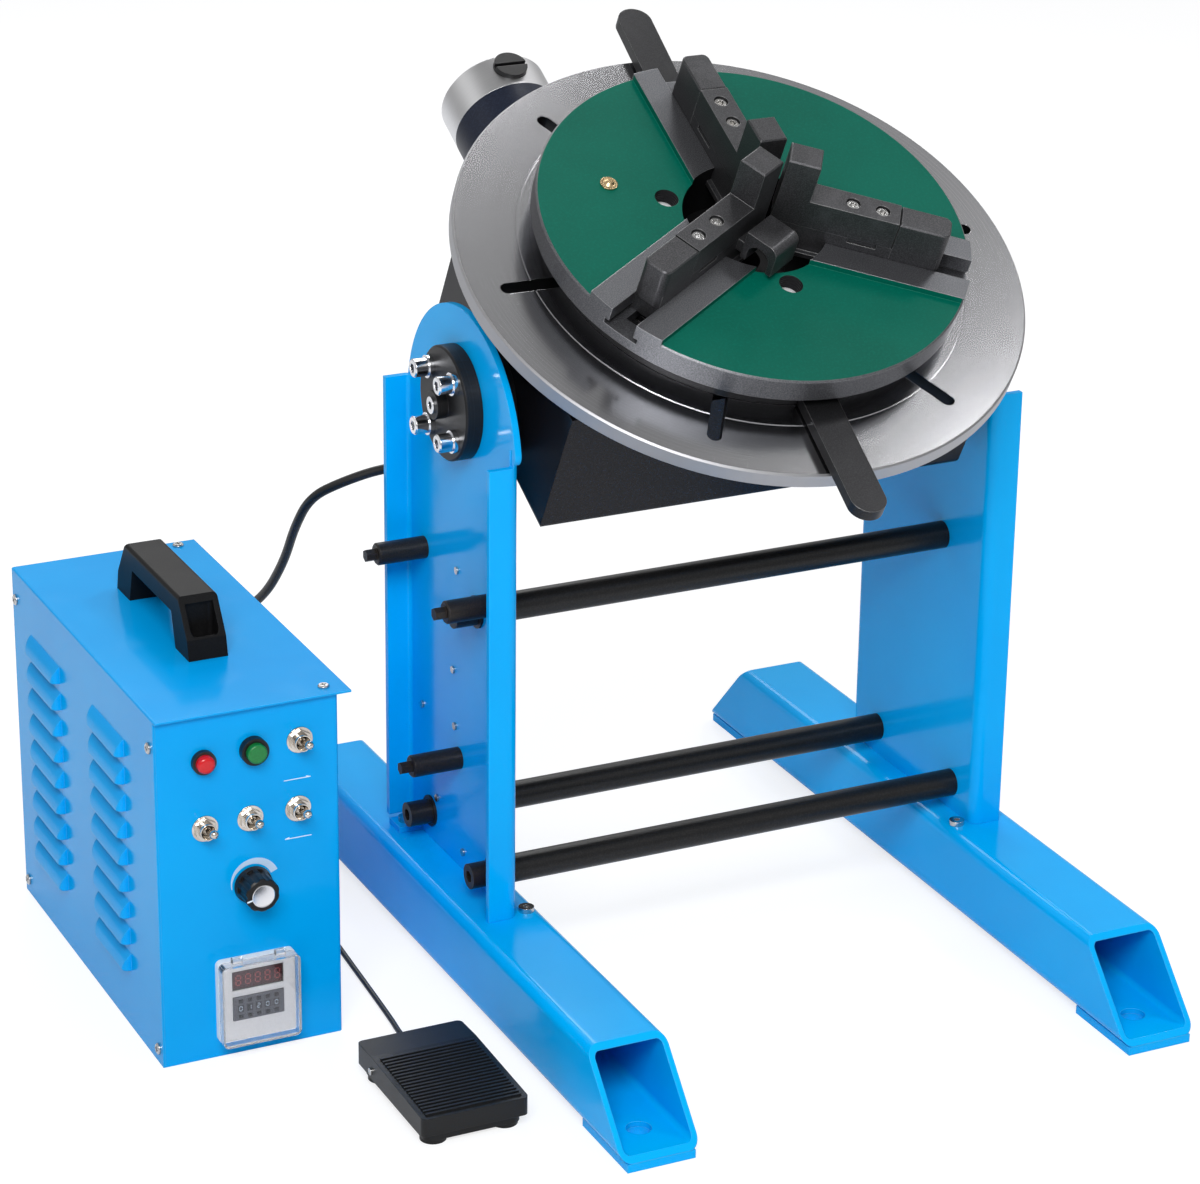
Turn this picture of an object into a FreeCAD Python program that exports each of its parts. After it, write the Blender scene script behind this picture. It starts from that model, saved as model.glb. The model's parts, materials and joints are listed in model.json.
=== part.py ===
import FreeCAD, Part
import math
import os
from FreeCAD import Vector as V

# A bench welding positioner with its chuck, control box and foot pedal. Millimetres, +Z up, front is -Y.
# The origin is on the floor, in the middle of the four floor-bolt holes.

# Feet
foot_from_web = 8.4
foot_width = 57.0
foot_length = 623.0
foot_slant = 57.0
foot_tube_height = 60.0
foot_wall = 4.0
foot_corner = 8.0
pad_height = 6.0
pad_length = 68.0
floor_bolt_inset = 34.5
floor_bolt_hole = 8.5

# Uprights
plate = 4.7
flange_width = 22.7
upright_front = -69.0
upright_back = 113.0
front_flange_top = 397.0
rear_flange_top = 408.0
rear_flange_lift = 7.0
fold_radius = 8.0
lobe_radius = 92.0
lobe_drop = 26.0
lobe_corner = 8.0
tab_depth = 19.0

# Crossbars, pegs and small screws of the stand, as (Y, Z) places
bar_radius = 10.0
bar_places = [(-8.1, 272.5), (73.5, 87.7), (-36.2, 87.3)]
bar_bolt = 5.0
bar_bolt_head = 9.0
bar_bolt_head_length = 17.0
bar_bolt_socket = 4.6
bar_bolt_socket_depth = 8.0
bar_bolt_grip = 25.0
washer = 1.6
washer_rim = 2.5
peg_radius = 8.0
peg_length = 37.0
peg_tip_radius = 4.5
peg_tip_length = 8.0
peg_places = [(83.0, 288.0), (-38.0, 289.0), (23.0, 150.0)]
peg_stud = 4.0
peg_edge = 1.0
small_screw = 1.5
small_screw_head = 2.7
small_screw_head_height = 1.5
small_screw_places = [(25.0, 291.0), (32.0, 214.0), (29.0, 172.0), (87.0, 166.0), (61.0, 103.0),
                      (15.0, 80.0)]
foot_screw = 3.0
foot_screw_head = 5.5
foot_screw_head_height = 3.5
foot_screw_socket = 2.4
foot_screw_socket_depth = 2.0
foot_screw_from_web = 9.0
foot_screw_from_flange = 7.0

# Tilt pivot
hub_length = 19.6
tilt_y = 20.25
tilt_z = 416.04
rest_tilt = 28.44
pivot_bore = 34.0
pivot_fit = 0.05
side_gap = 0.3
clamp_radius = 39.75
clamp_thickness = 12.3
clamp_bolt_offset = 20.5
clamp_bolt = 4.0
clamp_head = 6.5
clamp_head_length = 10.0
clamp_washer = 8.0
clamp_washer_thickness = 3.6
clamp_bolt_grip = 30.0
clamp_socket = 3.5
clamp_socket_depth = 5.0
bolt_edge = 0.8
boss_radius = 10.0
boss_height = 8.0
pin_radius = 6.0
pin_socket = 2.9
pin_socket_depth = 5.0
pin_stand_out = 1.5
pin_grip = 6.0

# Head chassis, all head heights are above the tilt axis with the table level
sheet = 3.0
chassis_half_width = 162.0
chassis_half_depth = 100.0
chassis_floor = -28.0
chassis_top = 80.0
chassis_corner = 7.0

# Table and spindle
table_radius = 200.0
table_thickness = 12.3
table_top = 105.2
slot_width = 10.0
slot_start = 100.0
slot_end = 179.0
slot_count = 6
scribe_radius = 155.5
scribe_width = 1.2
scribe_depth = 0.5
spindle_radius = 30.0
spindle_bore = 12.5
spindle_flange = 52.0
spindle_flange_thickness = 10.0
spindle_bottom = -22.0
spindle_bolt_circle = 40.0
spindle_bolt = 3.0
spindle_bolt_head = 5.0
spindle_bolt_head_length = 6.0
spindle_bolt_grip = 9.0
spindle_bolt_socket = 2.8
spindle_bolt_socket_depth = 3.0
spindle_bolt_count = 6
spindle_bolt_turn = 10.0

# Worm drive
worm_height = 40.0
worm_centres = 74.0
wheel_teeth = 60
wheel_module = 2.0
wheel_width = 14.0
# Half widths of a tooth at its root and tip, and the middle of the gap, as shares of the tooth pitch
wheel_tooth_root = 0.30
wheel_tooth_tip = 0.14
wheel_gap = 0.42
worm_core = 11.6
worm_length = 60.0
worm_shaft_radius = 8.0
shaft_fit = 0.05
gear_room = 2.0
housing_floor = -25.0
housing_split = 52.0
housing_top = 74.0
housing_wall = 8.0
housing_corner = 14.0
housing_cover_thickness = 8.0
housing_side = 18.0
tunnel_end = 5.0
tail_bush = 12.0
bearing_rise = 4.0
bearing_outer = 45.0
bearing_width = 16.0

# Motor
motor_radius = 39.5
motor_end = 217.0
cap_end = 248.5
brush_radius = 12.0
brush_inset = 14.5
brush_rise = 3.0
brush_depth = 9.0
brush_slot = 3.0
brush_slot_depth = 2.5
motor_edge = 2.0
cap_edge = 2.5
motor_socket = 24.0
motor_hole_gap = 1.0

# Chuck
chuck_radius = 150.0
chuck_thickness = 18.5
chuck_height = 35.0
chuck_bore = 50.0
hub_radius = 70.0
rail_width = 59.0
rail_height = 4.5
groove_width = 20.0
groove_depth = 10.0
foot_groove_width = 27.0
foot_groove_height = 4.0
tooth_window_width = 11.0
tooth_window_start = 72.5
tooth_window_end = 135.0
jaw_angles = [-30.0, -150.0, 90.0]
through_hole = 8.25
through_circle = 61.0
through_angles = [150.0, -90.0, 30.0]
chuck_bolt = 5.0
chuck_bolt_head = 7.5
chuck_bolt_head_length = 7.0
chuck_bolt_grip = 8.5
chuck_bolt_socket = 4.0
chuck_bolt_socket_depth = 4.0
nipple_circle = 101.0
nipple_angle = 150.7
nipple_radius = 6.0
nipple_flange = 1.2
nipple_tip = 1.6
nipple_nose = (3.6, 1.8)
nipple_grip = 6.0
rail_root = 5.0
edge = 1.2

# Scroll and levers
scroll_radius = 137.0
scroll_fit = 0.1
scroll_gap = 0.3
scroll_pitch = 10.0
scroll_groove = 5.8
scroll_depth = 5.0
scroll_start = 74.0
scroll_turns = 6
lever_width = 25.0
lever_thickness = 8.3
lever_base = 2.2
lever_root = 95.0
lever_reach = 243.0
lever_angle = 86.5

# Jaws, heights above the green face of the chuck
jaw_fit = 0.15
jaw_inner = 8.0
slide_inner = 12.0
slide_outer = 124.0
slide_top = 14.0
jaw_split = 92.0
split_gap = 0.6
block_outer = 127.0
jaw_top = 36.0
step_outer = 30.0
step_top = 66.0
key_start = 62.0
key_end = 82.0
key_depth = 4.0
jaw_screw_places = [59.0, 79.5]
jaw_screw_head = 5.0
jaw_screw_hole = 3.0
jaw_screw_depth = 9.0
jaw_edge = 1.0
jaw_corner = 5.0
key_side = 1.0
tooth_width = 8.0
tooth_thickness = 4.0
tooth_first = 76.4
tooth_count = 3
side_block_start = 15.5
side_block_end = 42.0
side_block_near = 16.3
side_block_far = 41.5
side_block_top = 27.0
side_block_radius = 8.5
side_block_corner = 6.0
side_block_axis = 7.0
side_neck_inset = (3.0, 4.0)
side_neck_height = 9.0
side_neck_sink = 0.5
side_jaw = 1

# Control box
box_left = -439.0
box_width = 130.0
box_front = -57.0
box_depth = 300.0
box_height = 255.0
box_sheet = 1.5
cover_overhang_right = 8.0
cover_overhang_front = 4.0
return_width = 14.0
louvre_rows = 9
louvre_pitch = 20.0
louvre_drop = 50.0
louvre_from_front = 60.5
louvre_from_back = 40.0
louvre_length = 64.0
louvre_height = 13.0
louvre_depth = 6.0
louvre_end = 5.0
louvre_inner_end = 4.0
box_screw_head = 4.0
box_screw = 2.0
box_screw_head_height = 2.0
box_screw_grip = 4.0
box_corner = 2.5
cover_corner = 1.4
side_screw_inset = 8.0
side_screw_drop = 22.0
side_screw_rise = 11.0
top_screw_inset = 7.0
handle_from_left = 56.0
handle_width = 28.0
handle_from_front = 84.0
handle_length = 148.0
handle_height = 40.0
handle_lean = 20.0
handle_leg = 27.0
handle_bar = 15.0
handle_screw = 2.5
handle_screw_head = 5.0
handle_screw_head_height = 3.0
handle_screw_socket = 2.2
handle_screw_inset = 12.0
handle_pocket_wall = 4.0
handle_pocket_length = 16.0
handle_pocket_corner = 3.0
handle_pocket_floor = 5.0
handle_splay = 7.0
handle_toe = 3.0
handle_toe_height = 14.0
handle_edge = 3.0

# Front panel, as places to the right of the box's left side and below its top,
# but the timer's rise is from the floor
lamp_from_corner = (34.0, 34.5)
reset_from_corner = (69.0, 32.0)
toggles_from_corner = [(102.0, 31.0), (34.0, 83.0), (66.0, 81.5), (100.0, 80.7)]
knob_from_corner = (66.5, 130.0)
lamp_ring = 8.3
lamp_ring_height = 4.0
lamp_radius = 6.0
lens_radius = 6.3
lens_height = 5.0
lens_dome = 3.0
lamp_depth = 26.0
bezel_radius = 9.6
bezel_height = 6.0
button_radius = 6.9
button_height = 4.5
button_travel = 3.0
button_depth = 12.0
button_edge = 1.5
button_wall = 1.0
button_floor = 1.0
bezel_depth = 24.0
panel_fit = 0.1
toggle_bush = 5.9
toggle_bush_length = 8.0
toggle_ring = 9.2
toggle_ring_thickness = 1.0
toggle_nut = 7.9
toggle_nut_thickness = 3.2
toggle_body_width = 13.0
toggle_body_height = 27.0
toggle_body_depth = 20.0
toggle_ball = 3.2
toggle_ball_fit = 0.3
toggle_ball_inset = 1.5
toggle_lip = 0.8
toggle_tip = 3.0
toggle_neck = 2.1
toggle_root = 1.6
toggle_length = 15.5
toggle_rest = 12.0
knob_radius = 12.0
knob_skirt = 13.4
knob_height = 19.0
knob_flutes = 10
flute_radius = 3.2
flute_out = 2.3
flute_end = 3.5
knob_edge = 1.2
knob_skirt_height = 8.0
knob_stand_off = 1.5
shaft_short = 4.0
pot_radius = 12.0
pot_depth = 12.0
pot_shaft = 3.0
pot_bush = 4.5
timer_from_left = 38.5
timer_rise = 12.0
timer_width = 56.0
timer_height = 61.0
timer_frame = 6.0
timer_inset = 7.0
timer_depth = 70.0
timer_cover_depth = 8.0
timer_cover_wall = 1.5
timer_window_side = 9.5
timer_window_top = 8.0
timer_window_height = 14.5
timer_window_depth = 1.5
timer_wheels_top = 27.0
timer_wheels_height = 18.0
timer_corner = 4.0
timer_lug = 2.2
timer_lug_rise = 2.0
timer_lug_width = 7.0
timer_lug_inset = 9.0

# Rear of the box, as places to the right of the box's left side and above the floor
motor_gland_place = (94.0, 120.0)
pedal_gland_place = (34.0, 34.0)
mains_inlet_place = (109.0, 34.0)
gland_radius = 9.0
gland_length = 14.0
gland_hexagon = 5.0
gland_neck = 6.0
gland_bush = 5.4
gland_nose = (7.2, 4.95)
inlet_half = (14.0, 10.0)
inlet_depth = 22.0
inlet_flange = 3.0
inlet_wall = 3.0
inlet_socket = 14.0

# Power supply in the box
supply_width = 75.0
supply_length = 110.0
supply_height = 68.5
supply_corner = 4.0
supply_from_side = 20.0
supply_from_back = 40.0

# Foot pedal
pedal_left = -323.0
pedal_right = -247.0
pedal_front = -230.0
pedal_back = -117.0
pedal_height = 25.0
pedal_skirt = 9.0
pedal_wall = 2.5
pedal_gap = 1.0
pedal_base_bottom = 3.0
pedal_base_top = 7.5
pedal_lobe = 9.0
pedal_pin_y = -143.0
pedal_pin_z = 14.5
pedal_pin = 2.5
pedal_slope = 3.0
rib_count = 20
rib_height = 1.2
rib_width = 1.8
pedal_exit_x = -279.0
pedal_exit_z = 6.0
relief_length = 14.0
relief_radii = (5.0, 3.0)
base_corner = 6.0
ear_width = 4.0
ear_radius = 6.0
pin_stand = 1.5
tread_corner = 4.0
tread_back_drop = 1.0
rib_side = 4.0
rib_front = 5.0
rib_back = 6.0
rib_root = 1.0
exit_gap = 6.0
switch_size = (28.0, 12.0, 6.0)
switch_from_front = 40.0
switch_plunger = (2.0, 1.5)

# Cords, their points chosen by hand
motor_cable = 7.0
motor_cable_route = [
    (-345, 257, 120), (-345, 288, 120), (-334, 316, 124), (-309, 331, 134), (-278, 322, 149),
    (-255, 293, 168), (-243, 256, 195), (-238, 225, 234), (-239, 200, 270), (-235, 178, 300),
    (-218, 158, 316), (-194, 142, 328), (-171, 118, 336), (-171, 86, 338)]
junction_x = -171.0
junction_z = 338.0
junction_back = 86.0
junction_length = 34.0
junction_height = 34.0
junction_corner = 2.0
junction_gap = 2.0
junction_nose = (6.75, 4.95)
pedal_cable = 4.0
pedal_cable_route = [
    (-279, -103, 6), (-278, -84, 4), (-274, -60, 2.3), (-266, 60, 2.3), (-262, 112, 2.3),
    (-263, 164, 2.3), (-266, 209, 2.3), (-279, 243, 2.3), (-300, 261, 2.5), (-326, 267.2, 3)]
pedal_tail_route = [
    (-372.5, 305, 9), (-388, 309, 13), (-402, 300, 23), (-406, 280, 32), (-405, 257, 34)]
coil_centre = (-346.0, 290.0)
coil_mean = 24.0
coil_width = 12.6
coil_height = 12.6

# Worked-out planes and levels
web_in = chassis_half_width + hub_length + side_gap
web_out = web_in + plate
flange_out = web_in + flange_width
foot_middle = web_in + foot_from_web
foot_top = pad_height + foot_tube_height
floor_bolt_y = foot_length / 2 - floor_bolt_inset
table_under = table_top - table_thickness
chuck_face = table_top + chuck_height
chuck_under = chuck_face - chuck_thickness
wheel_pitch_radius = wheel_teeth * wheel_module / 2
wheel_tip = wheel_pitch_radius + wheel_module
wheel_root = wheel_pitch_radius - 1.25 * wheel_module
disc_in = web_out + side_gap
disc_out = disc_in + clamp_thickness
box_right = box_left + box_width
box_back = box_front + box_depth
inner_left = box_left + box_sheet
inner_top = box_height - box_sheet


def box(x0, x1, y0, y1, z0, z1):
    """A block between two corners."""
    return Part.makeBox(x1 - x0, y1 - y0, z1 - z0, V(x0, y0, z0))


def rod(radius, start, end):
    """A round bar between two points."""
    run = end.sub(start)
    return Part.makeCylinder(radius, run.Length, start, run)


def upright_rod(radius, x, y, z0, z1):
    """A round bar along Z."""
    return rod(radius, V(x, y, z0), V(x, y, z1))


def prism(points, along):
    """A flat outline carried along a vector."""
    return Part.Face(Part.makePolygon(points + [points[0]])).extrude(along)


def hex_bar(flat_radius, start, along):
    """A six-sided bar; flat_radius is from its axis to a corner."""
    side = V(0, 0, 1) if abs(along.z) < 0.5 * along.Length else V(1, 0, 0)
    other = along.cross(side)
    other.normalize()
    points = []
    for k in range(6):
        turn = math.radians(60 * k)
        points.append(start + side * (flat_radius * math.cos(turn)) + other * (flat_radius * math.sin(turn)))
    return prism(points, along)


def fillet_where(shape, radius, wanted):
    """Round the edges whose middle and direction pass the test."""
    picked = []
    for line in shape.Edges:
        middle = line.valueAt((line.FirstParameter + line.LastParameter) / 2)
        ends = line.valueAt(line.LastParameter).sub(line.valueAt(line.FirstParameter))
        if wanted(middle, ends):
            picked.append(line)
    return shape.makeFillet(radius, picked)


def chamfer_rims(shape, size, level, direction, least):
    """Bevel the round edges that lie at one height along a direction."""
    picked = []
    for line in shape.Edges:
        if line.Curve.TypeId != "Part::GeomCircle" or line.Curve.Radius < least:
            continue
        if abs(line.Curve.Center.dot(direction) - level) < 0.01:
            picked.append(line)
    return shape.makeChamfer(size, picked)


def mirrored(shape):
    """The same shape on the other side of the machine."""
    return shape.mirror(V(0, 0, 0), V(1, 0, 0))


def spun(shape, degrees):
    """A copy turned about the table's axis, in head coordinates."""
    copy = shape.copy()
    copy.rotate(V(0, 0, 0), V(0, 0, 1), degrees)
    return copy


HEAD = FreeCAD.Placement(V(0, tilt_y, tilt_z), FreeCAD.Rotation(V(1, 0, 0), rest_tilt))


def on_head(shape):
    """Carry a shape drawn about the tilt axis, with the table level, to its tilted place."""
    copy = shape.copy()
    copy.Placement = HEAD.multiply(copy.Placement)
    return copy


def polar(radius, degrees):
    """A point of the table's plane as (x, y)."""
    turn = math.radians(degrees)
    return radius * math.cos(turn), radius * math.sin(turn)


def on_front(place):
    """A place of the front panel as (X, Z), from its distances to the box's left side and top."""
    return box_left + place[0], box_height - place[1]


def on_rear(place):
    """A place of the rear panel as (X, Z), from its distances to the box's left side and the floor."""
    return box_left + place[0], place[1]


nodes = {}


def keep(name, *solids):
    """File a sub-part under its name."""
    found = []
    for solid in solids:
        found.extend(solid.Solids)
    nodes[name] = found[0] if len(found) == 1 else Part.makeCompound(found)


def foot_tube():
    """Rectangular tube along Y with slanted open ends and floor-bolt holes."""
    half = foot_length / 2
    side = [V(0, -half, pad_height), V(0, half, pad_height),
            V(0, half - foot_slant, foot_top), V(0, -half + foot_slant, foot_top)]
    outer = prism(side, V(foot_width, 0, 0))
    outer.translate(V(-foot_width / 2, 0, 0))
    along = lambda middle, ends: abs(ends.x) < 0.1 and abs(ends.z) < 0.1 and abs(ends.y) > foot_width
    outer = fillet_where(outer, foot_corner, along)
    reach = half + foot_slant
    inner = box(-foot_width / 2 + foot_wall, foot_width / 2 - foot_wall, -reach, reach,
                pad_height + foot_wall, foot_top - foot_wall)
    inner = fillet_where(inner, foot_corner - foot_wall, along)
    tube = outer.cut(inner)
    for y in (-floor_bolt_y, floor_bolt_y):
        tube = tube.cut(upright_rod(floor_bolt_hole, 0, y, 0, foot_tube_height / 2))
    return tube


def foot_pad(y_sign):
    """The flat pad under one end of a foot."""
    ends = sorted([y_sign * foot_length / 2, y_sign * (foot_length / 2 - pad_length)])
    inset = foot_corner / 2
    pad = box(-foot_width / 2 + inset, foot_width / 2 - inset, ends[0], ends[1], 0, pad_height)
    return pad.cut(upright_rod(floor_bolt_hole, 0, y_sign * floor_bolt_y, -1, pad_height + 1))


def upright():
    """The left folded channel with its round lobe, bored for the pivot, bars, pegs and screws."""
    channel = box(-flange_out, -web_in, upright_front, upright_back, foot_top, rear_flange_top)
    outside = lambda middle, ends: abs(ends.z) > front_flange_top / 2 and middle.x > -web_in - 1
    channel = fillet_where(channel, fold_radius, outside)
    hollow = box(-flange_out - 1, -web_out, upright_front + plate, upright_back - plate, foot_top - 1,
                 rear_flange_top + 1)
    hollow = fillet_where(hollow, fold_radius - plate, outside_inner)
    channel = channel.cut(hollow)
    channel = channel.cut(box(-flange_out - 1, -web_out, upright_front - 1, upright_front + plate + 1,
                              front_flange_top, rear_flange_top + 1))
    channel = channel.cut(box(-flange_out - 1, -web_out, upright_back - plate - 0.01, upright_back + 1,
                              foot_top - 1, foot_top + rear_flange_lift))
    lobe_z = tilt_z - lobe_drop
    lobe = rod(lobe_radius, V(-web_out, tilt_y, lobe_z), V(-web_in, tilt_y, lobe_z))
    lobe = lobe.common(box(-web_out, -web_in, tilt_y - lobe_radius, upright_back, front_flange_top,
                           lobe_z + lobe_radius))
    lobe = fillet_where(lobe, lobe_corner, lambda middle, ends: middle.z < front_flange_top + 0.1
                        and middle.y < upright_front)
    shape = channel.fuse(lobe)
    tab = box(-flange_out, -web_out, upright_back - plate - tab_depth, upright_back - plate,
              foot_top, foot_top + plate)
    shape = shape.fuse(tab).removeSplitter()
    cuts = [rod(pivot_bore, V(-web_out - 1, tilt_y, tilt_z), V(-web_in + 1, tilt_y, tilt_z))]
    for y, z in bar_places:
        cuts.append(rod(bar_bolt, V(-web_out - 1, y, z), V(-web_in + 1, y, z)))
    return shape.cut(cuts)


def outside_inner(middle, ends):
    """The two inner fold lines of the channel."""
    return abs(ends.z) > front_flange_top / 2 and middle.x > -web_out - 1


def left_upright():
    """The left upright also has the peg and screw holes and the tab's screw hole."""
    shape = upright()
    cuts = []
    for y, z in peg_places:
        cuts.append(rod(peg_stud, V(-web_out - 1, y, z), V(-web_in + 1, y, z)))
    for y, z in small_screw_places:
        cuts.append(rod(small_screw, V(-web_out - 1, y, z), V(-web_in + 1, y, z)))
    return shape.cut(cuts)


tab_screw_x = -(flange_out + web_out) / 2
tab_screw_y = upright_back - plate - tab_depth / 2
inner_screw_x = -web_in + foot_screw_from_web
inner_screw_y = upright_front + foot_screw_from_flange


def foot_screws():
    """Screws that hold one upright to its foot, one in the tab and one inside the web."""
    screws = []
    for x, y, base in ((tab_screw_x, tab_screw_y, foot_top + plate),
                       (inner_screw_x, inner_screw_y, foot_top)):
        top = base + foot_screw_head_height
        head = upright_rod(foot_screw_head, x, y, base, top)
        socket = hex_bar(foot_screw_socket, V(x, y, top - foot_screw_socket_depth),
                         V(0, 0, foot_screw_socket_depth + 1))
        stem = upright_rod(foot_screw, x, y, foot_top - foot_wall, base)
        screws.append(head.fuse(stem).cut(socket))
    return screws


def drill_foot(tube):
    """Holes in the foot's top wall for those screws."""
    cuts = []
    for x, y in ((tab_screw_x, tab_screw_y), (inner_screw_x, inner_screw_y)):
        cuts.append(upright_rod(foot_screw, x, y, foot_top - foot_wall - 1, foot_top + plate + 1))
    return tube.cut(cuts)


left_foot = foot_tube()
left_foot.translate(V(-foot_middle, 0, 0))
left_foot = drill_foot(left_foot)
keep("foot_left", left_foot)
keep("foot_right", mirrored(left_foot))
pads = []
for x_sign in (-1, 1):
    for y_sign in (-1, 1):
        pad = foot_pad(y_sign)
        pad.translate(V(x_sign * foot_middle, 0, 0))
        pads.append(pad)
keep("foot_pads", *pads)

tab_hole = upright_rod(foot_screw, tab_screw_x, tab_screw_y, foot_top - 1, foot_top + plate + 1)
keep("upright_left", left_upright().cut(tab_hole))
keep("upright_right", mirrored(upright().cut(tab_hole)))

# Crossbars with a bolt and washer at each end
bars = []
bolts = []
for y, z in bar_places:
    bar = rod(bar_radius, V(-web_in, y, z), V(web_in, y, z))
    for side in (-1, 1):
        inner_end = V(side * (web_in - bar_bolt_grip), y, z)
        bar = bar.cut(rod(bar_bolt, inner_end, V(side * (web_in + 1), y, z)))
        face = side * web_out
        head_start = face + side * washer
        head_end = head_start + side * bar_bolt_head_length
        head = rod(bar_bolt_head, V(head_start, y, z), V(head_end, y, z))
        stem = rod(bar_bolt, inner_end, V(head_start, y, z))
        socket = hex_bar(bar_bolt_socket, V(head_end - side * bar_bolt_socket_depth, y, z),
                         V(side * (bar_bolt_socket_depth + 1), 0, 0))
        bolts.append(head.fuse(stem).cut(socket))
        ring = rod(bar_bolt_head + washer_rim, V(face, y, z), V(head_start, y, z))
        bolts.append(ring.cut(rod(bar_bolt, V(face - side, y, z), V(head_start + side, y, z))))
    bars.append(bar)
keep("crossbars", *bars)
keep("crossbar_bolts", *bolts)

pegs = []
for y, z in peg_places:
    body = rod(peg_radius, V(-web_out - peg_length, y, z), V(-web_out, y, z))
    body = chamfer_rims(body, peg_edge, -web_out - peg_length, V(1, 0, 0), peg_radius / 2)
    tip_start = V(-web_out - peg_length - peg_tip_length, y, z)
    tip = hex_bar(peg_tip_radius, tip_start, V(peg_tip_length, 0, 0))
    stud = rod(peg_stud, V(-web_out, y, z), V(-web_in, y, z))
    pegs.append(body.fuse([tip, stud]))
keep("hanging_pegs", *pegs)

screws = []
for y, z in small_screw_places:
    head = rod(small_screw_head, V(-web_out - small_screw_head_height, y, z), V(-web_out, y, z))
    screws.append(head.fuse(rod(small_screw, V(-web_out, y, z), V(-web_in, y, z))))
left_screws = foot_screws()
screws.extend(left_screws)
for screw in left_screws:
    screws.append(mirrored(screw))
keep("stand_screws", *screws)


# Head, drawn about the tilt axis with the table level
def pivot_hub():
    """Left hub: a flange bolted to the chassis and a spigot that turns in the lobe's bore."""
    flange = rod(clamp_radius, V(-web_in + side_gap, 0, 0), V(-chassis_half_width, 0, 0))
    spigot = rod(pivot_bore - pivot_fit, V(-disc_in, 0, 0), V(-web_in + side_gap, 0, 0))
    return flange.fuse(spigot).removeSplitter()


def clamp_places():
    """The four bolts stand on a square that is upright in the room at rest."""
    radius = clamp_bolt_offset * math.sqrt(2)
    places = []
    for k in range(4):
        turn = math.radians(45 + 90 * k - rest_tilt)
        places.append((radius * math.cos(turn), radius * math.sin(turn)))
    return places


hub = pivot_hub()
disc = rod(clamp_radius, V(-disc_out, 0, 0), V(-disc_in, 0, 0))
disc = chamfer_rims(disc, edge, -disc_out, V(1, 0, 0), clamp_radius / 2)
disc = disc.fuse(rod(boss_radius, V(-disc_out - boss_height, 0, 0), V(-disc_out, 0, 0)))
bolt_start = -disc_out + clamp_bolt_grip
clamp_bolts = []
for y, z in clamp_places():
    hole = rod(clamp_bolt, V(-disc_out - 1, y, z), V(bolt_start, y, z))
    hub = hub.cut(hole)
    disc = disc.cut(hole)
    head_x = -disc_out - clamp_washer_thickness
    ring = rod(clamp_washer, V(head_x, y, z), V(-disc_out, y, z))
    ring = ring.cut(rod(clamp_bolt, V(head_x - 1, y, z), V(-disc_out + 1, y, z)))
    head = rod(clamp_head, V(head_x - clamp_head_length, y, z), V(head_x, y, z))
    head = chamfer_rims(head, bolt_edge, head_x - clamp_head_length, V(1, 0, 0), clamp_head / 2)
    stem = rod(clamp_bolt, V(head_x, y, z), V(bolt_start, y, z))
    socket = hex_bar(clamp_socket, V(head_x - clamp_head_length - 1, y, z), V(clamp_socket_depth + 1, 0, 0))
    clamp_bolts.extend([ring, head.fuse(stem).cut(socket)])
pin_out = -disc_out - boss_height - pin_stand_out
pin_in = -chassis_half_width - pin_grip
pin_hole = rod(pin_radius, V(pin_out - 1, 0, 0), V(pin_in, 0, 0))
hub = hub.cut(pin_hole)
disc = disc.cut(pin_hole)
pin = rod(pin_radius, V(pin_out, 0, 0), V(pin_in, 0, 0))
pin = pin.cut(hex_bar(pin_socket, V(pin_out - 1, 0, 0), V(pin_socket_depth + 1, 0, 0)))
head_pairs = {"pivot_hubs": [hub], "clamp_discs": [disc], "clamp_bolts": clamp_bolts + [pin]}
for name, solids in head_pairs.items():
    both = [on_head(solid) for solid in solids]
    both.extend([on_head(mirrored(solid)) for solid in solids])
    keep(name, *both)


def chassis():
    """Folded sheet tray that carries the hubs and the gear housing."""
    outer = box(-chassis_half_width, chassis_half_width, -chassis_half_depth, chassis_half_depth,
                chassis_floor, chassis_top)
    lower = lambda middle, ends: middle.z < chassis_floor + 1
    outer = fillet_where(outer, chassis_corner, lower)
    inner = box(-chassis_half_width + sheet, chassis_half_width - sheet, -chassis_half_depth + sheet,
                chassis_half_depth - sheet, chassis_floor + sheet, chassis_top + 1)
    inner_lower = lambda middle, ends: middle.z < chassis_floor + sheet + 1
    inner = fillet_where(inner, chassis_corner - sheet, inner_lower)
    shape = outer.cut(inner)
    cuts = [upright_rod(spindle_radius + gear_room, 0, 0, chassis_floor - 1, chassis_floor + sheet + 1)]
    cuts.append(rod(motor_radius + motor_hole_gap,
                    V(-worm_centres, chassis_half_depth - sheet - 1, worm_height),
                    V(-worm_centres, chassis_half_depth + 1, worm_height)))
    return shape.cut(cuts)


keep("head_chassis", on_head(chassis()))


def ring_between(outer, inner, z0, z1):
    """A round ring about the table's axis."""
    return upright_rod(outer, 0, 0, z0, z1).cut(upright_rod(inner, 0, 0, z0 - 1, z1 + 1))


# Gear housing in two halves, the worm beside the wheel, the spindle in two bearings
housing_left = -worm_centres - worm_shaft_radius - housing_side
housing_right = wheel_tip + gear_room + housing_wall
housing_front = -wheel_tip - gear_room - housing_wall
housing_back = chassis_half_depth - sheet - side_gap
tunnel_front = -worm_length / 2 - tunnel_end
high_bearing_bottom = housing_split + bearing_rise
high_bearing_top = high_bearing_bottom + bearing_width


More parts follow.
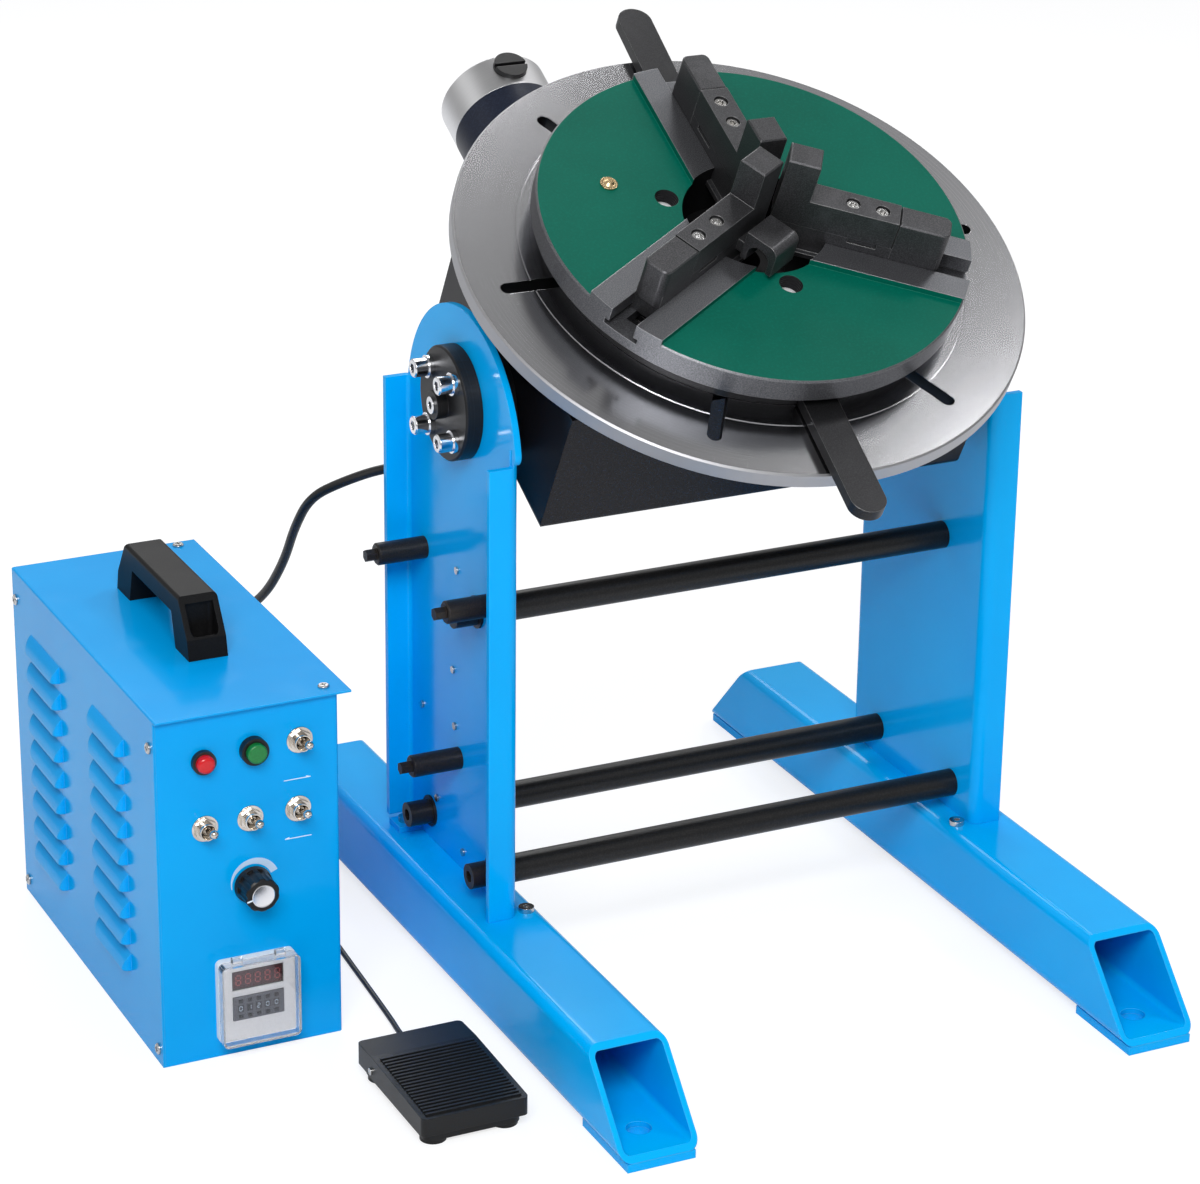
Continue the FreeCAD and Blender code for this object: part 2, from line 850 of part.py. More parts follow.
def housing():
    """Lower half: round wheel chamber, worm tunnel, lower bearing seat and worm bush."""
    outer = box(housing_left, housing_right, housing_front, housing_back, housing_floor, housing_split)
    upright_edges = lambda middle, ends: abs(ends.z) > 10
    outer = fillet_where(outer, housing_corner, upright_edges)
    outer = fillet_where(outer, chassis_corner, lambda middle, ends: middle.z < housing_floor + 0.1)
    wheel_low = worm_height - wheel_width / 2 - gear_room
    cuts = [upright_rod(wheel_tip + gear_room, 0, 0, wheel_low, housing_split + 1)]
    cuts.append(upright_rod(bearing_outer, 0, 0, spindle_bottom, spindle_bottom + bearing_width))
    cuts.append(upright_rod(spindle_radius + gear_room, 0, 0, housing_floor - 1, wheel_low + 1))
    cuts.append(rod(worm_core + gear_room, V(-worm_centres, tunnel_front, worm_height),
                    V(-worm_centres, -tunnel_front, worm_height)))
    cuts.append(rod(worm_shaft_radius + shaft_fit, V(-worm_centres, tunnel_front - tail_bush, worm_height),
                    V(-worm_centres, housing_back + 1, worm_height)))
    return outer.cut(cuts)


def housing_cover():
    """Upper half with the upper bearing seat."""
    outer = box(housing_left, housing_right, housing_front, housing_back, housing_split,
                housing_split + housing_cover_thickness)
    outer = fillet_where(outer, housing_corner, lambda middle, ends: abs(ends.z) > 5)
    collar = upright_rod(bearing_outer + housing_wall, 0, 0, housing_split, housing_top)
    collar = chamfer_rims(collar, edge, housing_top, V(0, 0, 1), bearing_outer)
    shape = outer.fuse(collar)
    shape = shape.cut(upright_rod(bearing_outer, 0, 0, high_bearing_bottom, high_bearing_top))
    return shape.cut(upright_rod(spindle_radius + gear_room, 0, 0, housing_split - 1, housing_top + 1))


keep("gear_housing", on_head(housing()))
keep("gear_housing_cover", on_head(housing_cover()))
bearing_hole = spindle_radius + shaft_fit
low_bearing = ring_between(bearing_outer, bearing_hole, spindle_bottom, spindle_bottom + bearing_width)
high_bearing = ring_between(bearing_outer, bearing_hole, high_bearing_bottom, high_bearing_top)
keep("spindle_bearings", on_head(low_bearing), on_head(high_bearing))

# Motor behind the chassis, on the worm's axis
motor_axis_x = -worm_centres


def motor_rod(radius, y0, y1):
    """A round bar on the motor's axis."""
    return rod(radius, V(motor_axis_x, y0, worm_height), V(motor_axis_x, y1, worm_height))


motor_front = housing_back
motor = motor_rod(motor_radius, motor_front, motor_end)
motor = chamfer_rims(motor, motor_edge, motor_front, V(0, 1, 0), motor_radius / 2)
motor = motor.cut(motor_rod(worm_shaft_radius + shaft_fit, motor_front - 1, motor_front + motor_socket))
keep("motor_body", on_head(motor))
cap = motor_rod(motor_radius, motor_end, cap_end)
cap = chamfer_rims(cap, cap_edge, cap_end, V(0, 1, 0), motor_radius / 2)
cap.rotate(V(motor_axis_x, cap_end, worm_height), V(0, 1, 0), 45)
brush_y = cap_end - brush_inset
brushes = []
for way in (-1, 1):
    start = worm_height + way * (motor_radius - brush_depth)
    outer_end = worm_height + way * (motor_radius + brush_rise)
    seat = rod(brush_radius, V(motor_axis_x, brush_y, start), V(motor_axis_x, brush_y, outer_end))
    cap = cap.cut(seat)
    slot_floor = outer_end - way * brush_slot_depth
    slot = box(motor_axis_x - brush_radius - 1, motor_axis_x + brush_radius + 1, brush_y - brush_slot / 2,
               brush_y + brush_slot / 2, min(outer_end, slot_floor), max(outer_end, slot_floor))
    brushes.append(seat.cut(slot))
keep("motor_end_cap", on_head(cap))
keep("brush_caps", on_head(brushes[0]), on_head(brushes[1]))

# Worm on the motor's shaft
worm_front = tunnel_front - tail_bush
shaft_end = motor_front + motor_socket - 1
worm = motor_rod(worm_core, -worm_length / 2, worm_length / 2)
keep("worm_shaft", on_head(worm.fuse(motor_rod(worm_shaft_radius, worm_front + 1, shaft_end))))


def worm_wheel():
    """Spur outline of the worm wheel, keyed on the spindle."""
    points = []
    step = 360.0 / wheel_teeth
    for k in range(wheel_teeth):
        for radius, part in ((wheel_root, -wheel_gap), (wheel_root, -wheel_tooth_root),
                             (wheel_tip, -wheel_tooth_tip), (wheel_tip, wheel_tooth_tip),
                             (wheel_root, wheel_tooth_root)):
            x, y = polar(radius, (k + part) * step)
            points.append(V(x, y, worm_height - wheel_width / 2))
    wheel = prism(points, V(0, 0, wheel_width))
    return wheel.cut(upright_rod(spindle_radius, 0, 0, 0, housing_split))


keep("worm_wheel", on_head(worm_wheel()))

# Spindle, hollow, bolted under the table
flange_bottom = table_under - spindle_flange_thickness
spindle = upright_rod(spindle_radius, 0, 0, spindle_bottom, table_top)
spindle = spindle.fuse(upright_rod(spindle_flange, 0, 0, flange_bottom, table_under)).removeSplitter()
spindle_cuts = [upright_rod(spindle_bore, 0, 0, spindle_bottom - 1, table_top + 1)]
table_cuts = [upright_rod(spindle_radius, 0, 0, table_under - 1, table_top + 1)]
centre_bolts = []
bolt_base = table_under - spindle_bolt_grip
head_base = table_top - spindle_bolt_head_length
for k in range(spindle_bolt_count):
    x, y = polar(spindle_bolt_circle, spindle_bolt_turn + 360.0 / spindle_bolt_count * k)
    stem_hole = upright_rod(spindle_bolt, x, y, bolt_base, table_top)
    spindle_cuts.append(stem_hole)
    table_cuts.append(stem_hole)
    table_cuts.append(upright_rod(spindle_bolt_head, x, y, head_base, table_top + 1))
    head = upright_rod(spindle_bolt_head, x, y, head_base, table_top)
    socket = hex_bar(spindle_bolt_socket, V(x, y, table_top - spindle_bolt_socket_depth),
                     V(0, 0, spindle_bolt_head_length))
    stem = upright_rod(spindle_bolt, x, y, bolt_base, head_base)
    centre_bolts.append(on_head(head.cut(socket).fuse(stem)))
keep("spindle", on_head(spindle.cut(spindle_cuts)))

# Table with radial slots and a scribed circle
table = upright_rod(table_radius, 0, 0, table_under, table_top)
table = chamfer_rims(table, edge, table_top, V(0, 0, 1), table_radius / 2)
table = chamfer_rims(table, edge, table_under, V(0, 0, 1), table_radius / 2)
scribed_ring = ring_between(scribe_radius + scribe_width, scribe_radius, table_top - scribe_depth,
                            table_top + 1)
table_cuts.append(scribed_ring)
for k in range(slot_count):
    end = slot_end - slot_width / 2
    slot = box(slot_start, end, -slot_width / 2, slot_width / 2, table_under - 1, table_top + 1)
    slot = slot.fuse([upright_rod(slot_width / 2, slot_start, 0, table_under - 1, table_top + 1),
                      upright_rod(slot_width / 2, end, 0, table_under - 1, table_top + 1)])
    table_cuts.append(spun(slot, 360.0 / slot_count * k))
chuck_bolts = []
hub_cuts = []
for degrees in jaw_angles:
    x, y = polar(through_circle, degrees)
    top = table_top + chuck_bolt_grip
    stem_hole = upright_rod(chuck_bolt, x, y, table_under - 1, top)
    table_cuts.append(stem_hole)
    hub_cuts.append(stem_hole)
    head = upright_rod(chuck_bolt_head, x, y, table_under - chuck_bolt_head_length, table_under)
    socket = hex_bar(chuck_bolt_socket, V(x, y, table_under - chuck_bolt_head_length - 1),
                     V(0, 0, chuck_bolt_socket_depth + 1))
    head = head.cut(socket)
    chuck_bolts.append(on_head(head.fuse(upright_rod(chuck_bolt, x, y, table_under, top))))
keep("table_plate", on_head(table.cut(table_cuts)))
keep("table_bolts", *centre_bolts, *chuck_bolts)


def radial_block(a0, a1, p0, p1, z0, z1, degrees):
    """A block between two radii and two side offsets, turned to an angle."""
    return spun(box(a0, a1, p0, p1, z0, z1), degrees)


def chuck():
    """Green disc on a bolted hub, three raised rails each with a slide groove and a window to the scroll."""
    body = upright_rod(chuck_radius, 0, 0, chuck_under, chuck_face)
    body = chamfer_rims(body, edge, chuck_face, V(0, 0, 1), chuck_radius / 2)
    body = chamfer_rims(body, edge, chuck_under, V(0, 0, 1), chuck_radius / 2)
    body = body.fuse(upright_rod(hub_radius, 0, 0, table_top, chuck_under))
    rails = []
    inside = upright_rod(chuck_radius, 0, 0, chuck_face - rail_root, chuck_face + rail_height)
    for degrees in jaw_angles:
        rail = radial_block(0, chuck_radius + rail_height, -rail_width / 2, rail_width / 2,
                            chuck_face - rail_root, chuck_face + rail_height, degrees)
        rails.append(rail.common(inside))
    body = body.fuse(rails)
    floor = chuck_face - groove_depth
    cuts = [upright_rod(chuck_bore, 0, 0, table_top - 1, chuck_face + rail_height + 1)]
    for degrees in jaw_angles:
        far = chuck_radius + rail_height
        cuts.append(radial_block(0, far, -groove_width / 2, groove_width / 2, floor,
                                 chuck_face + 2 * rail_height, degrees))
        cuts.append(radial_block(0, far, -foot_groove_width / 2, foot_groove_width / 2, floor,
                                 floor + foot_groove_height, degrees))
        cuts.append(radial_block(tooth_window_start, tooth_window_end, -tooth_window_width / 2,
                                 tooth_window_width / 2, chuck_under - 1, floor + 1, degrees))
    for degrees in through_angles:
        x, y = polar(through_circle, degrees)
        cuts.append(upright_rod(through_hole, x, y, table_top - 1, chuck_face + 1))
    x, y = polar(nipple_circle, nipple_angle)
    cuts.append(upright_rod(nipple_radius / 2, x, y, chuck_face - nipple_grip, chuck_face + 1))
    return body.cut(cuts + hub_cuts)


keep("chuck_body", on_head(chuck()))
x, y = polar(nipple_circle, nipple_angle)
nipple = upright_rod(nipple_radius, x, y, chuck_face, chuck_face + nipple_flange)
nose = Part.makeCone(nipple_nose[0], nipple_nose[1], nipple_tip, V(x, y, chuck_face + nipple_flange))
nipple = nipple.fuse([upright_rod(nipple_radius / 2, x, y, chuck_face - nipple_grip, chuck_face), nose])
keep("oil_nipple", on_head(nipple))

# Scroll ring with a spiral groove, drawn as quarter arcs whose centres go round a small square
scroll_low = table_top + scroll_gap
scroll_high = chuck_under - scroll_gap
quarter = scroll_pitch / 4


def spiral_radius(degrees):
    """Where the groove's centre line crosses a ray, for the first turn."""
    return scroll_start + scroll_pitch * degrees / 360.0


def spiral_groove():
    """The cut that leaves the spiral rib: quarter ring after quarter ring."""
    pieces = []
    z = scroll_high - scroll_depth
    centre_x = -quarter / 2
    centre_y = quarter / 2
    radius = scroll_start + quarter / 2
    for k in range(4 * scroll_turns):
        outer = Part.makeCylinder(radius + scroll_groove / 2, scroll_depth + 1, V(centre_x, centre_y, z),
                                  V(0, 0, 1), 90)
        inner = Part.makeCylinder(radius - scroll_groove / 2, scroll_depth + 3, V(centre_x, centre_y, z - 1),
                                  V(0, 0, 1), 90)
        sector = outer.cut(inner)
        sector.rotate(V(centre_x, centre_y, 0), V(0, 0, 1), 90 * k)
        pieces.append(sector)
        turn = math.radians(90 * (k + 1))
        centre_x -= quarter * math.cos(turn)
        centre_y -= quarter * math.sin(turn)
        radius += quarter
    return pieces[0].fuse(pieces[1:])


def lever():
    """One flat lever bar with a round tip."""
    low = table_top + lever_base
    tip_centre = lever_reach - lever_width / 2
    bar = box(lever_root, tip_centre, -lever_width / 2, lever_width / 2, low, low + lever_thickness)
    tip = upright_rod(lever_width / 2, tip_centre, 0, low, low + lever_thickness)
    return bar.fuse(tip).removeSplitter()


levers = [spun(lever(), lever_angle), spun(lever(), lever_angle + 180)]
scroll = ring_between(scroll_radius, hub_radius + scroll_fit, scroll_low, scroll_high)
scroll = scroll.cut([spiral_groove()] + levers)
keep("scroll_ring", on_head(scroll))
keep("scroll_levers", on_head(levers[0]), on_head(levers[1]))


# Jaws
def base_jaw(index):
    """Slide with a foot in the groove, scroll teeth beneath, the tall outer block and the key slot."""
    floor = chuck_face - groove_depth
    half = groove_width / 2 - jaw_fit
    foot_half = foot_groove_width / 2 - jaw_fit
    slide = box(slide_inner, slide_outer, -half, half, floor + jaw_fit, chuck_face + slide_top)
    foot = box(slide_inner, slide_outer, -foot_half, foot_half, floor + jaw_fit,
               floor + foot_groove_height - jaw_fit)
    block = box(jaw_split + split_gap / 2, block_outer, -groove_width / 2, groove_width / 2,
                chuck_face + rail_height + side_gap, chuck_face + jaw_top)
    corner = lambda middle, ends: abs(ends.z) > 5 and middle.x > block_outer - 1
    block = fillet_where(block, jaw_corner, corner)
    upper = [line for line in block.Edges if line.CenterOfMass.z > chuck_face + jaw_top - 0.1]
    block = block.makeChamfer(jaw_edge, upper)
    jaw = slide.fuse([foot, block])
    jaw = jaw.cut(box(key_start, key_end, -groove_width, groove_width, chuck_face + slide_top - key_depth,
                      chuck_face + slide_top + 1))
    phase = (spiral_radius(jaw_angles[index]) - tooth_first) % scroll_pitch
    teeth = []
    for k in range(tooth_count):
        middle = tooth_first + phase + k * scroll_pitch
        teeth.append(box(middle - tooth_thickness / 2, middle + tooth_thickness / 2, -tooth_width / 2,
                         tooth_width / 2, scroll_high - scroll_depth + side_gap, floor + jaw_fit))
    jaw = jaw.fuse(teeth)
    if index == side_jaw:
        jaw = jaw.fuse(side_block())
    return jaw.removeSplitter()


def side_block():
    """Arched block beside the jaw, hollow along the jaw, joined by a low neck."""
    low = chuck_face + rail_height + side_gap
    high = chuck_face + side_block_top
    body = box(side_block_start, side_block_end, side_block_near, side_block_far, low, high)
    body = fillet_where(body, side_block_corner, lambda middle, ends: abs(ends.x) > side_block_corner
                        and middle.y > side_block_far - 1 and middle.z > high - 1)
    centre = (side_block_near + side_block_far) / 2
    axis_z = low + side_block_axis
    hollow = rod(side_block_radius, V(side_block_start - 1, centre, axis_z),
                 V(side_block_end + 1, centre, axis_z))
    hollow = hollow.fuse(box(side_block_start - 1, side_block_end + 1, centre - side_block_radius,
                             centre + side_block_radius, low - 1, axis_z))
    neck = box(side_block_start + side_neck_inset[0], side_block_end - side_neck_inset[1], 0,
               side_block_near + side_neck_sink, low, low + side_neck_height)
    return body.cut(hollow).fuse(neck)


def top_jaw():
    """Stepped jaw keyed and screwed on the slide, with a tall inner step."""
    low = chuck_face + slide_top
    half = groove_width / 2
    body = box(jaw_inner, jaw_split - split_gap / 2, -half, half, low, chuck_face + jaw_top)
    step = box(jaw_inner, step_outer, -half, half, low, chuck_face + step_top)
    shape = body.fuse(step).removeSplitter()
    top_edges = []
    for line in shape.Edges:
        middle = line.CenterOfMass
        if middle.z > chuck_face + step_top - 0.1:
            top_edges.append(line)
    shape = shape.makeChamfer(jaw_edge, top_edges)
    key = box(key_start + jaw_fit, key_end - jaw_fit, -half + key_side, half - key_side,
              low - key_depth + jaw_fit, low)
    shape = shape.fuse(key)
    cuts = []
    for a in jaw_screw_places:
        cuts.append(upright_rod(jaw_screw_head, a, 0, chuck_face + jaw_top - jaw_screw_depth,
                                chuck_face + jaw_top + 1))
        cuts.append(upright_rod(jaw_screw_hole, a, 0, low - key_depth - 1, chuck_face + jaw_top))
    return shape.cut(cuts)


for index, degrees in enumerate(jaw_angles):
    keep("jaw_%d_base" % (index + 1), on_head(spun(base_jaw(index), degrees)))
    keep("jaw_%d_top" % (index + 1), on_head(spun(top_jaw(), degrees)))

# Control box chassis: front, bottom, right side and rear, with narrow returns for the cover's screws
lamp_place = on_front(lamp_from_corner)
reset_place = on_front(reset_from_corner)
toggle_places = [on_front(place) for place in toggles_from_corner]
knob_place = on_front(knob_from_corner)
timer_left = box_left + timer_from_left
timer_right = timer_left + timer_width
timer_bottom = timer_rise
timer_top = timer_bottom + timer_height
motor_gland = on_rear(motor_gland_place)
pedal_gland = on_rear(pedal_gland_place)
mains_inlet = on_rear(mains_inlet_place)
screw_front = box_front + side_screw_inset
screw_back = box_back - side_screw_inset
screw_high = box_height - side_screw_drop
side_screw_places = [(screw_front, screw_high), (screw_back, screw_high), (screw_front, side_screw_rise),
                     (screw_back, side_screw_rise)]
top_screw_places = [(box_right - top_screw_inset, screw_front), (box_right - top_screw_inset, screw_back)]
chassis_box = box(inner_left, box_right, box_front, box_back, 0, inner_top)
chassis_box = fillet_where(chassis_box, box_corner, lambda middle, ends: abs(ends.z) > box_height / 2
                           and middle.x > box_right - 1)
room = box(inner_left - 1, box_right - box_sheet, box_front + box_sheet, box_back - box_sheet,
           box_sheet, inner_top + 1)
chassis_box = chassis_box.cut(room)
returns = []
for y0, y1 in ((box_front + box_sheet, box_front + return_width),
               (box_back - return_width, box_back - box_sheet)):
    returns.append(box(inner_left, inner_left + box_sheet, y0, y1, box_sheet, inner_top))
returns.append(box(box_right - return_width, box_right - box_sheet, box_front + box_sheet,
                   box_back - box_sheet, inner_top - box_sheet, inner_top))
chassis_box = chassis_box.fuse(returns)


def panel_hole(radius, place, depth=box_sheet):
    """A hole through the front panel."""
    return rod(radius, V(place[0], box_front - 1, place[1]), V(place[0], box_front + depth + 1, place[1]))


def rear_hole(radius, place):
    """A hole through the rear panel."""
    return rod(radius, V(place[0], box_back - box_sheet - 1, place[1]), V(place[0], box_back + 1, place[1]))


timer_case = [timer_left + timer_inset, timer_right - timer_inset, timer_bottom + timer_inset,
              timer_top - timer_inset]
box_cuts = [panel_hole(lamp_radius, lamp_place),
            panel_hole(button_radius + panel_fit + button_wall, reset_place),
            panel_hole(pot_bush, knob_place),
            box(timer_case[0], timer_case[1], box_front - 1, box_front + box_sheet + 1, timer_case[2],
                timer_case[3]),
            rear_hole(gland_bush, motor_gland), rear_hole(gland_bush, pedal_gland),
            box(mains_inlet[0] - inlet_half[0], mains_inlet[0] + inlet_half[0], box_back - box_sheet - 1,
                box_back + 1, mains_inlet[1] - inlet_half[1], mains_inlet[1] + inlet_half[1])]
for place in toggle_places:
    box_cuts.append(panel_hole(toggle_bush, place))
for y, z in side_screw_places:
    box_cuts.append(rod(box_screw, V(inner_left - 1, y, z), V(inner_left + box_sheet + 1, y, z)))
for x, y in top_screw_places:
    box_cuts.append(upright_rod(box_screw, x, y, inner_top - box_sheet - 1, box_height + 1))
keep("box_chassis", chassis_box.cut(box_cuts))


louvre_round = (louvre_depth ** 2 + louvre_height ** 2) / (2 * louvre_depth)
louvre_starts = (box_front + louvre_from_front, box_back - louvre_from_back - louvre_length)


def louvre_form(inset, end_radius, reach):
    """A pressed hood with rounded ends, smaller all round by an inset, its open edge at height 0."""
    middle_x = box_left - louvre_depth + louvre_round
    arc = rod(louvre_round - inset, V(middle_x, inset, 0), V(middle_x, louvre_length - inset, 0))
    block = box(box_left - louvre_depth + inset, reach, inset, louvre_length - inset, 0,
                louvre_height + box_sheet)
    block = fillet_where(block, end_radius, lambda middle, ends: abs(ends.z) > louvre_height / 2
                         and middle.x < box_left)
    return arc.common(block)


def cover():
    """L-shaped cover: left side with louvres and top with overhanging edges."""
    side = box(box_left, inner_left, box_front, box_back, 0, box_height)
    top = box(box_left, box_right + cover_overhang_right, box_front - cover_overhang_front, box_back,
              inner_top, box_height)
    shape = side.fuse(top).removeSplitter()
    shape = fillet_where(shape, cover_corner, lambda middle, ends: abs(ends.y) > box_depth / 2
                         and middle.x < box_left + 0.1 and middle.z > inner_top + 1)
    outer_form = louvre_form(0, louvre_end, inner_left)
    inner_form = louvre_form(box_sheet, louvre_inner_end, inner_left + 1)
    hoods = []
    slots = []
    for start in louvre_starts:
        for row in range(louvre_rows):
            place = V(0, start, box_height - louvre_drop - row * louvre_pitch)
            hoods.append(outer_form.translated(place))
            slots.append(inner_form.translated(place))
    shape = shape.fuse(hoods).cut(slots)
    cuts = []
    for y, z in side_screw_places:
        cuts.append(rod(box_screw, V(box_left - 1, y, z), V(inner_left + 1, y, z)))
    for x, y in top_screw_places:
        cuts.append(upright_rod(box_screw, x, y, inner_top - 1, box_height + 1))
    for y in handle_screw_ys:
        cuts.append(upright_rod(handle_screw, handle_middle, y, inner_top - 1, box_height + 1))
    return shape.cut(cuts)


# Bridge handle: sloping ends with a pocket each for its screw
handle_left = box_left + handle_from_left
handle_right = handle_left + handle_width
handle_front = box_front + handle_from_front
handle_back = handle_front + handle_length
handle_middle = (handle_left + handle_right) / 2
handle_screw_ys = (handle_front + handle_screw_inset, handle_back - handle_screw_inset)
handle_top = box_height + handle_height
handle_side = [V(handle_left, handle_front, box_height),
               V(handle_left, handle_front + handle_leg, box_height),
               V(handle_left, handle_front + handle_leg + handle_splay, handle_top - handle_bar),
               V(handle_left, handle_back - handle_leg - handle_splay, handle_top - handle_bar),
               V(handle_left, handle_back - handle_leg, box_height), V(handle_left, handle_back, box_height),
               V(handle_left, handle_back - handle_toe, box_height + handle_toe_height),
               V(handle_left, handle_back - handle_lean, handle_top),
               V(handle_left, handle_front + handle_lean, handle_top),
               V(handle_left, handle_front + handle_toe, box_height + handle_toe_height)]
handle = prism(handle_side, V(handle_right - handle_left, 0, 0))
handle = fillet_where(handle, handle_edge, lambda middle, ends: middle.z > handle_top - 0.1
                      and abs(ends.y) > handle_length / 2)
pocket = box(handle_left + handle_pocket_wall, handle_right - handle_pocket_wall,
             handle_front + handle_pocket_wall, handle_front + handle_pocket_wall + handle_pocket_length,
             box_height + handle_pocket_floor, handle_top - handle_pocket_floor)
pocket = fillet_where(pocket, handle_pocket_corner, lambda middle, ends: abs(ends.z) > handle_height / 2)
handle_centre = (handle_front + handle_back) / 2
handle_cuts = [pocket, pocket.mirror(V(0, handle_centre, 0), V(0, 1, 0))]
for y in handle_screw_ys:
    handle_cuts.append(upright_rod(handle_screw, handle_middle, y, box_height - 1, handle_top))
keep("box_handle", handle.cut(handle_cuts))
keep("box_cover", cover())

# Screws of the box: cover, top and handle
box_screws = []
for y, z in side_screw_places:
    head = rod(box_screw_head, V(box_left - box_screw_head_height, y, z), V(box_left, y, z))
    head = chamfer_rims(head, bolt_edge, box_left - box_screw_head_height, V(1, 0, 0), box_screw)
    stem = rod(box_screw, V(box_left, y, z), V(inner_left + box_sheet + box_screw_grip, y, z))
    box_screws.append(head.fuse(stem))
for x, y in top_screw_places:
    head = upright_rod(box_screw_head, x, y, box_height, box_height + box_screw_head_height)
    head = chamfer_rims(head, bolt_edge, box_height + box_screw_head_height, V(0, 0, 1), box_screw)
    stem = upright_rod(box_screw, x, y, inner_top - box_sheet - box_screw_grip, box_height)
    box_screws.append(head.fuse(stem))
for y in handle_screw_ys:
    seat = box_height + handle_pocket_floor
    head = upright_rod(handle_screw_head, handle_middle, y, seat, seat + handle_screw_head_height)
    socket = hex_bar(handle_screw_socket, V(handle_middle, y, seat + handle_screw_head_height / 2),
                     V(0, 0, handle_screw_head_height))
    stem = upright_rod(handle_screw, handle_middle, y, inner_top - box_sheet - box_screw_grip, seat)
    box_screws.append(head.cut(socket).fuse(stem))
keep("box_screws", *box_screws)


def panel_rod(radius, place, y0, y1):
    """A round bar through the front panel, along Y."""
    return rod(radius, V(place[0], y0, place[1]), V(place[0], y1, place[1]))


# Pilot lamp: black ring and red lens on one body
lamp = panel_rod(lamp_ring, lamp_place, box_front - lamp_ring_height, box_front)
lens_front = box_front - lamp_ring_height - lens_height
lens = panel_rod(lens_radius, lamp_place, lens_front, box_front - lamp_ring_height)
lens = fillet_where(lens, lens_dome, lambda middle, ends: middle.y < lens_front + 0.1)
keep("pilot_lamp", lamp.fuse([lens, panel_rod(lamp_radius, lamp_place, box_front, box_front + lamp_depth)]))

# Reset button sliding in its bezel
bezel = panel_rod(bezel_radius, reset_place, box_front - bezel_height, box_front)
bezel_tube = panel_rod(button_radius + panel_fit + button_wall, reset_place, box_front,
                       box_front + bezel_depth)
bezel = bezel.fuse(bezel_tube)
bezel = bezel.cut(panel_rod(button_radius + panel_fit, reset_place, box_front - bezel_height - 1,
                            box_front + button_depth + button_travel + button_floor))
keep("reset_bezel", bezel)
button_front = box_front - bezel_height - button_height
button = panel_rod(button_radius, reset_place, button_front, box_front + button_depth)
button = fillet_where(button, button_edge, lambda middle, ends: middle.y < button_front + 0.1)
keep("reset_button", button)

# Toggle switches
toggle_shells = []
for number, (x, z) in enumerate(toggle_places):
    place = (x, z)
    bush_front = box_front - toggle_bush_length
    body = box(x - toggle_body_width / 2, x + toggle_body_width / 2, box_front + box_sheet,
               box_front + box_sheet + toggle_body_depth, z - toggle_body_height / 2,
               z + toggle_body_height / 2)
    bush = panel_rod(toggle_bush, place, bush_front, box_front + box_sheet)
    nut = hex_bar(toggle_nut, V(x, box_front - toggle_nut_thickness, z), V(0, toggle_nut_thickness, 0))
    ring = panel_rod(toggle_ring, place, box_front - toggle_ring_thickness, box_front)
    ball_y = bush_front + toggle_ball + toggle_ball_inset
    cavity = Part.makeSphere(toggle_ball + toggle_ball_fit, V(x, ball_y, z))
    mouth = Part.makeCone(toggle_ball, toggle_bush - toggle_lip, ball_y - bush_front, V(x, ball_y, z),
                          V(0, -1, 0))
    toggle_shells.append(body.fuse([bush, nut, ring]).cut([cavity, mouth]))
    ball = Part.makeSphere(toggle_ball, V(x, ball_y, z))
    bat = Part.makeCone(toggle_root, toggle_neck, toggle_length, V(x, ball_y, z), V(0, -1, 0))
    tip = Part.makeSphere(toggle_tip, V(x, ball_y - toggle_length, z))
    toggle = ball.fuse([bat, tip])
    toggle.rotate(V(x, ball_y, z), V(1, 0, 0), -toggle_rest)
    keep("toggle_lever_%d" % (number + 1), toggle)
keep("toggle_switches", *toggle_shells)

# Speed potentiometer and its fluted knob
pot = panel_rod(pot_radius, knob_place, box_front + box_sheet, box_front + box_sheet + pot_depth)
shaft_front = box_front - knob_height + shaft_short
pot = pot.fuse([panel_rod(pot_bush, knob_place, box_front - knob_stand_off, box_front + box_sheet),
                panel_rod(pot_shaft, knob_place, shaft_front, box_front)])
keep("speed_pot", pot)
knob_back = box_front - knob_stand_off - side_gap
knob_face = knob_back - knob_height
knob = panel_rod(knob_radius, knob_place, knob_face, knob_back)
knob = chamfer_rims(knob, knob_edge, knob_face, V(0, 1, 0), knob_radius / 2)
skirt = Part.makeCone(knob_skirt, knob_radius, knob_skirt_height, V(knob_place[0], knob_back, knob_place[1]),
                      V(0, -1, 0))
knob_cuts = [panel_rod(pot_shaft + shaft_fit, knob_place, shaft_front - side_gap, knob_back + 1)]
for k in range(knob_flutes):
    dx, dz = polar(knob_radius + flute_out, 360.0 / knob_flutes * k)
    flute_place = (knob_place[0] + dx, knob_place[1] + dz)
    knob_cuts.append(panel_rod(flute_radius, flute_place, knob_face - 1, knob_back - flute_end))
keep("speed_knob", knob.fuse(skirt).cut(knob_cuts))

# Timer with its clear cover
timer = box(timer_left, timer_right, box_front - timer_frame, box_front, timer_bottom, timer_top)
timer = fillet_where(timer, timer_corner, lambda middle, ends: abs(ends.y) > timer_frame / 2)
timer = timer.fuse(box(timer_case[0], timer_case[1], box_front, box_front + timer_depth, timer_case[2],
                       timer_case[3]))
timer_face = box_front - timer_frame
windows = []
for drop, height in ((timer_window_top, timer_window_height), (timer_wheels_top, timer_wheels_height)):
    windows.append(box(timer_left + timer_window_side, timer_right - timer_window_side, timer_face - 1,
                       timer_face + timer_window_depth, timer_top - drop - height, timer_top - drop))
keep("timer_body", timer.cut(windows))
cover_back = timer_face - side_gap
cover_front = cover_back - timer_cover_depth
clear = box(timer_left, timer_right, cover_front, cover_back, timer_bottom, timer_top)
clear = fillet_where(clear, timer_corner, lambda middle, ends: abs(ends.y) > timer_cover_depth / 2)
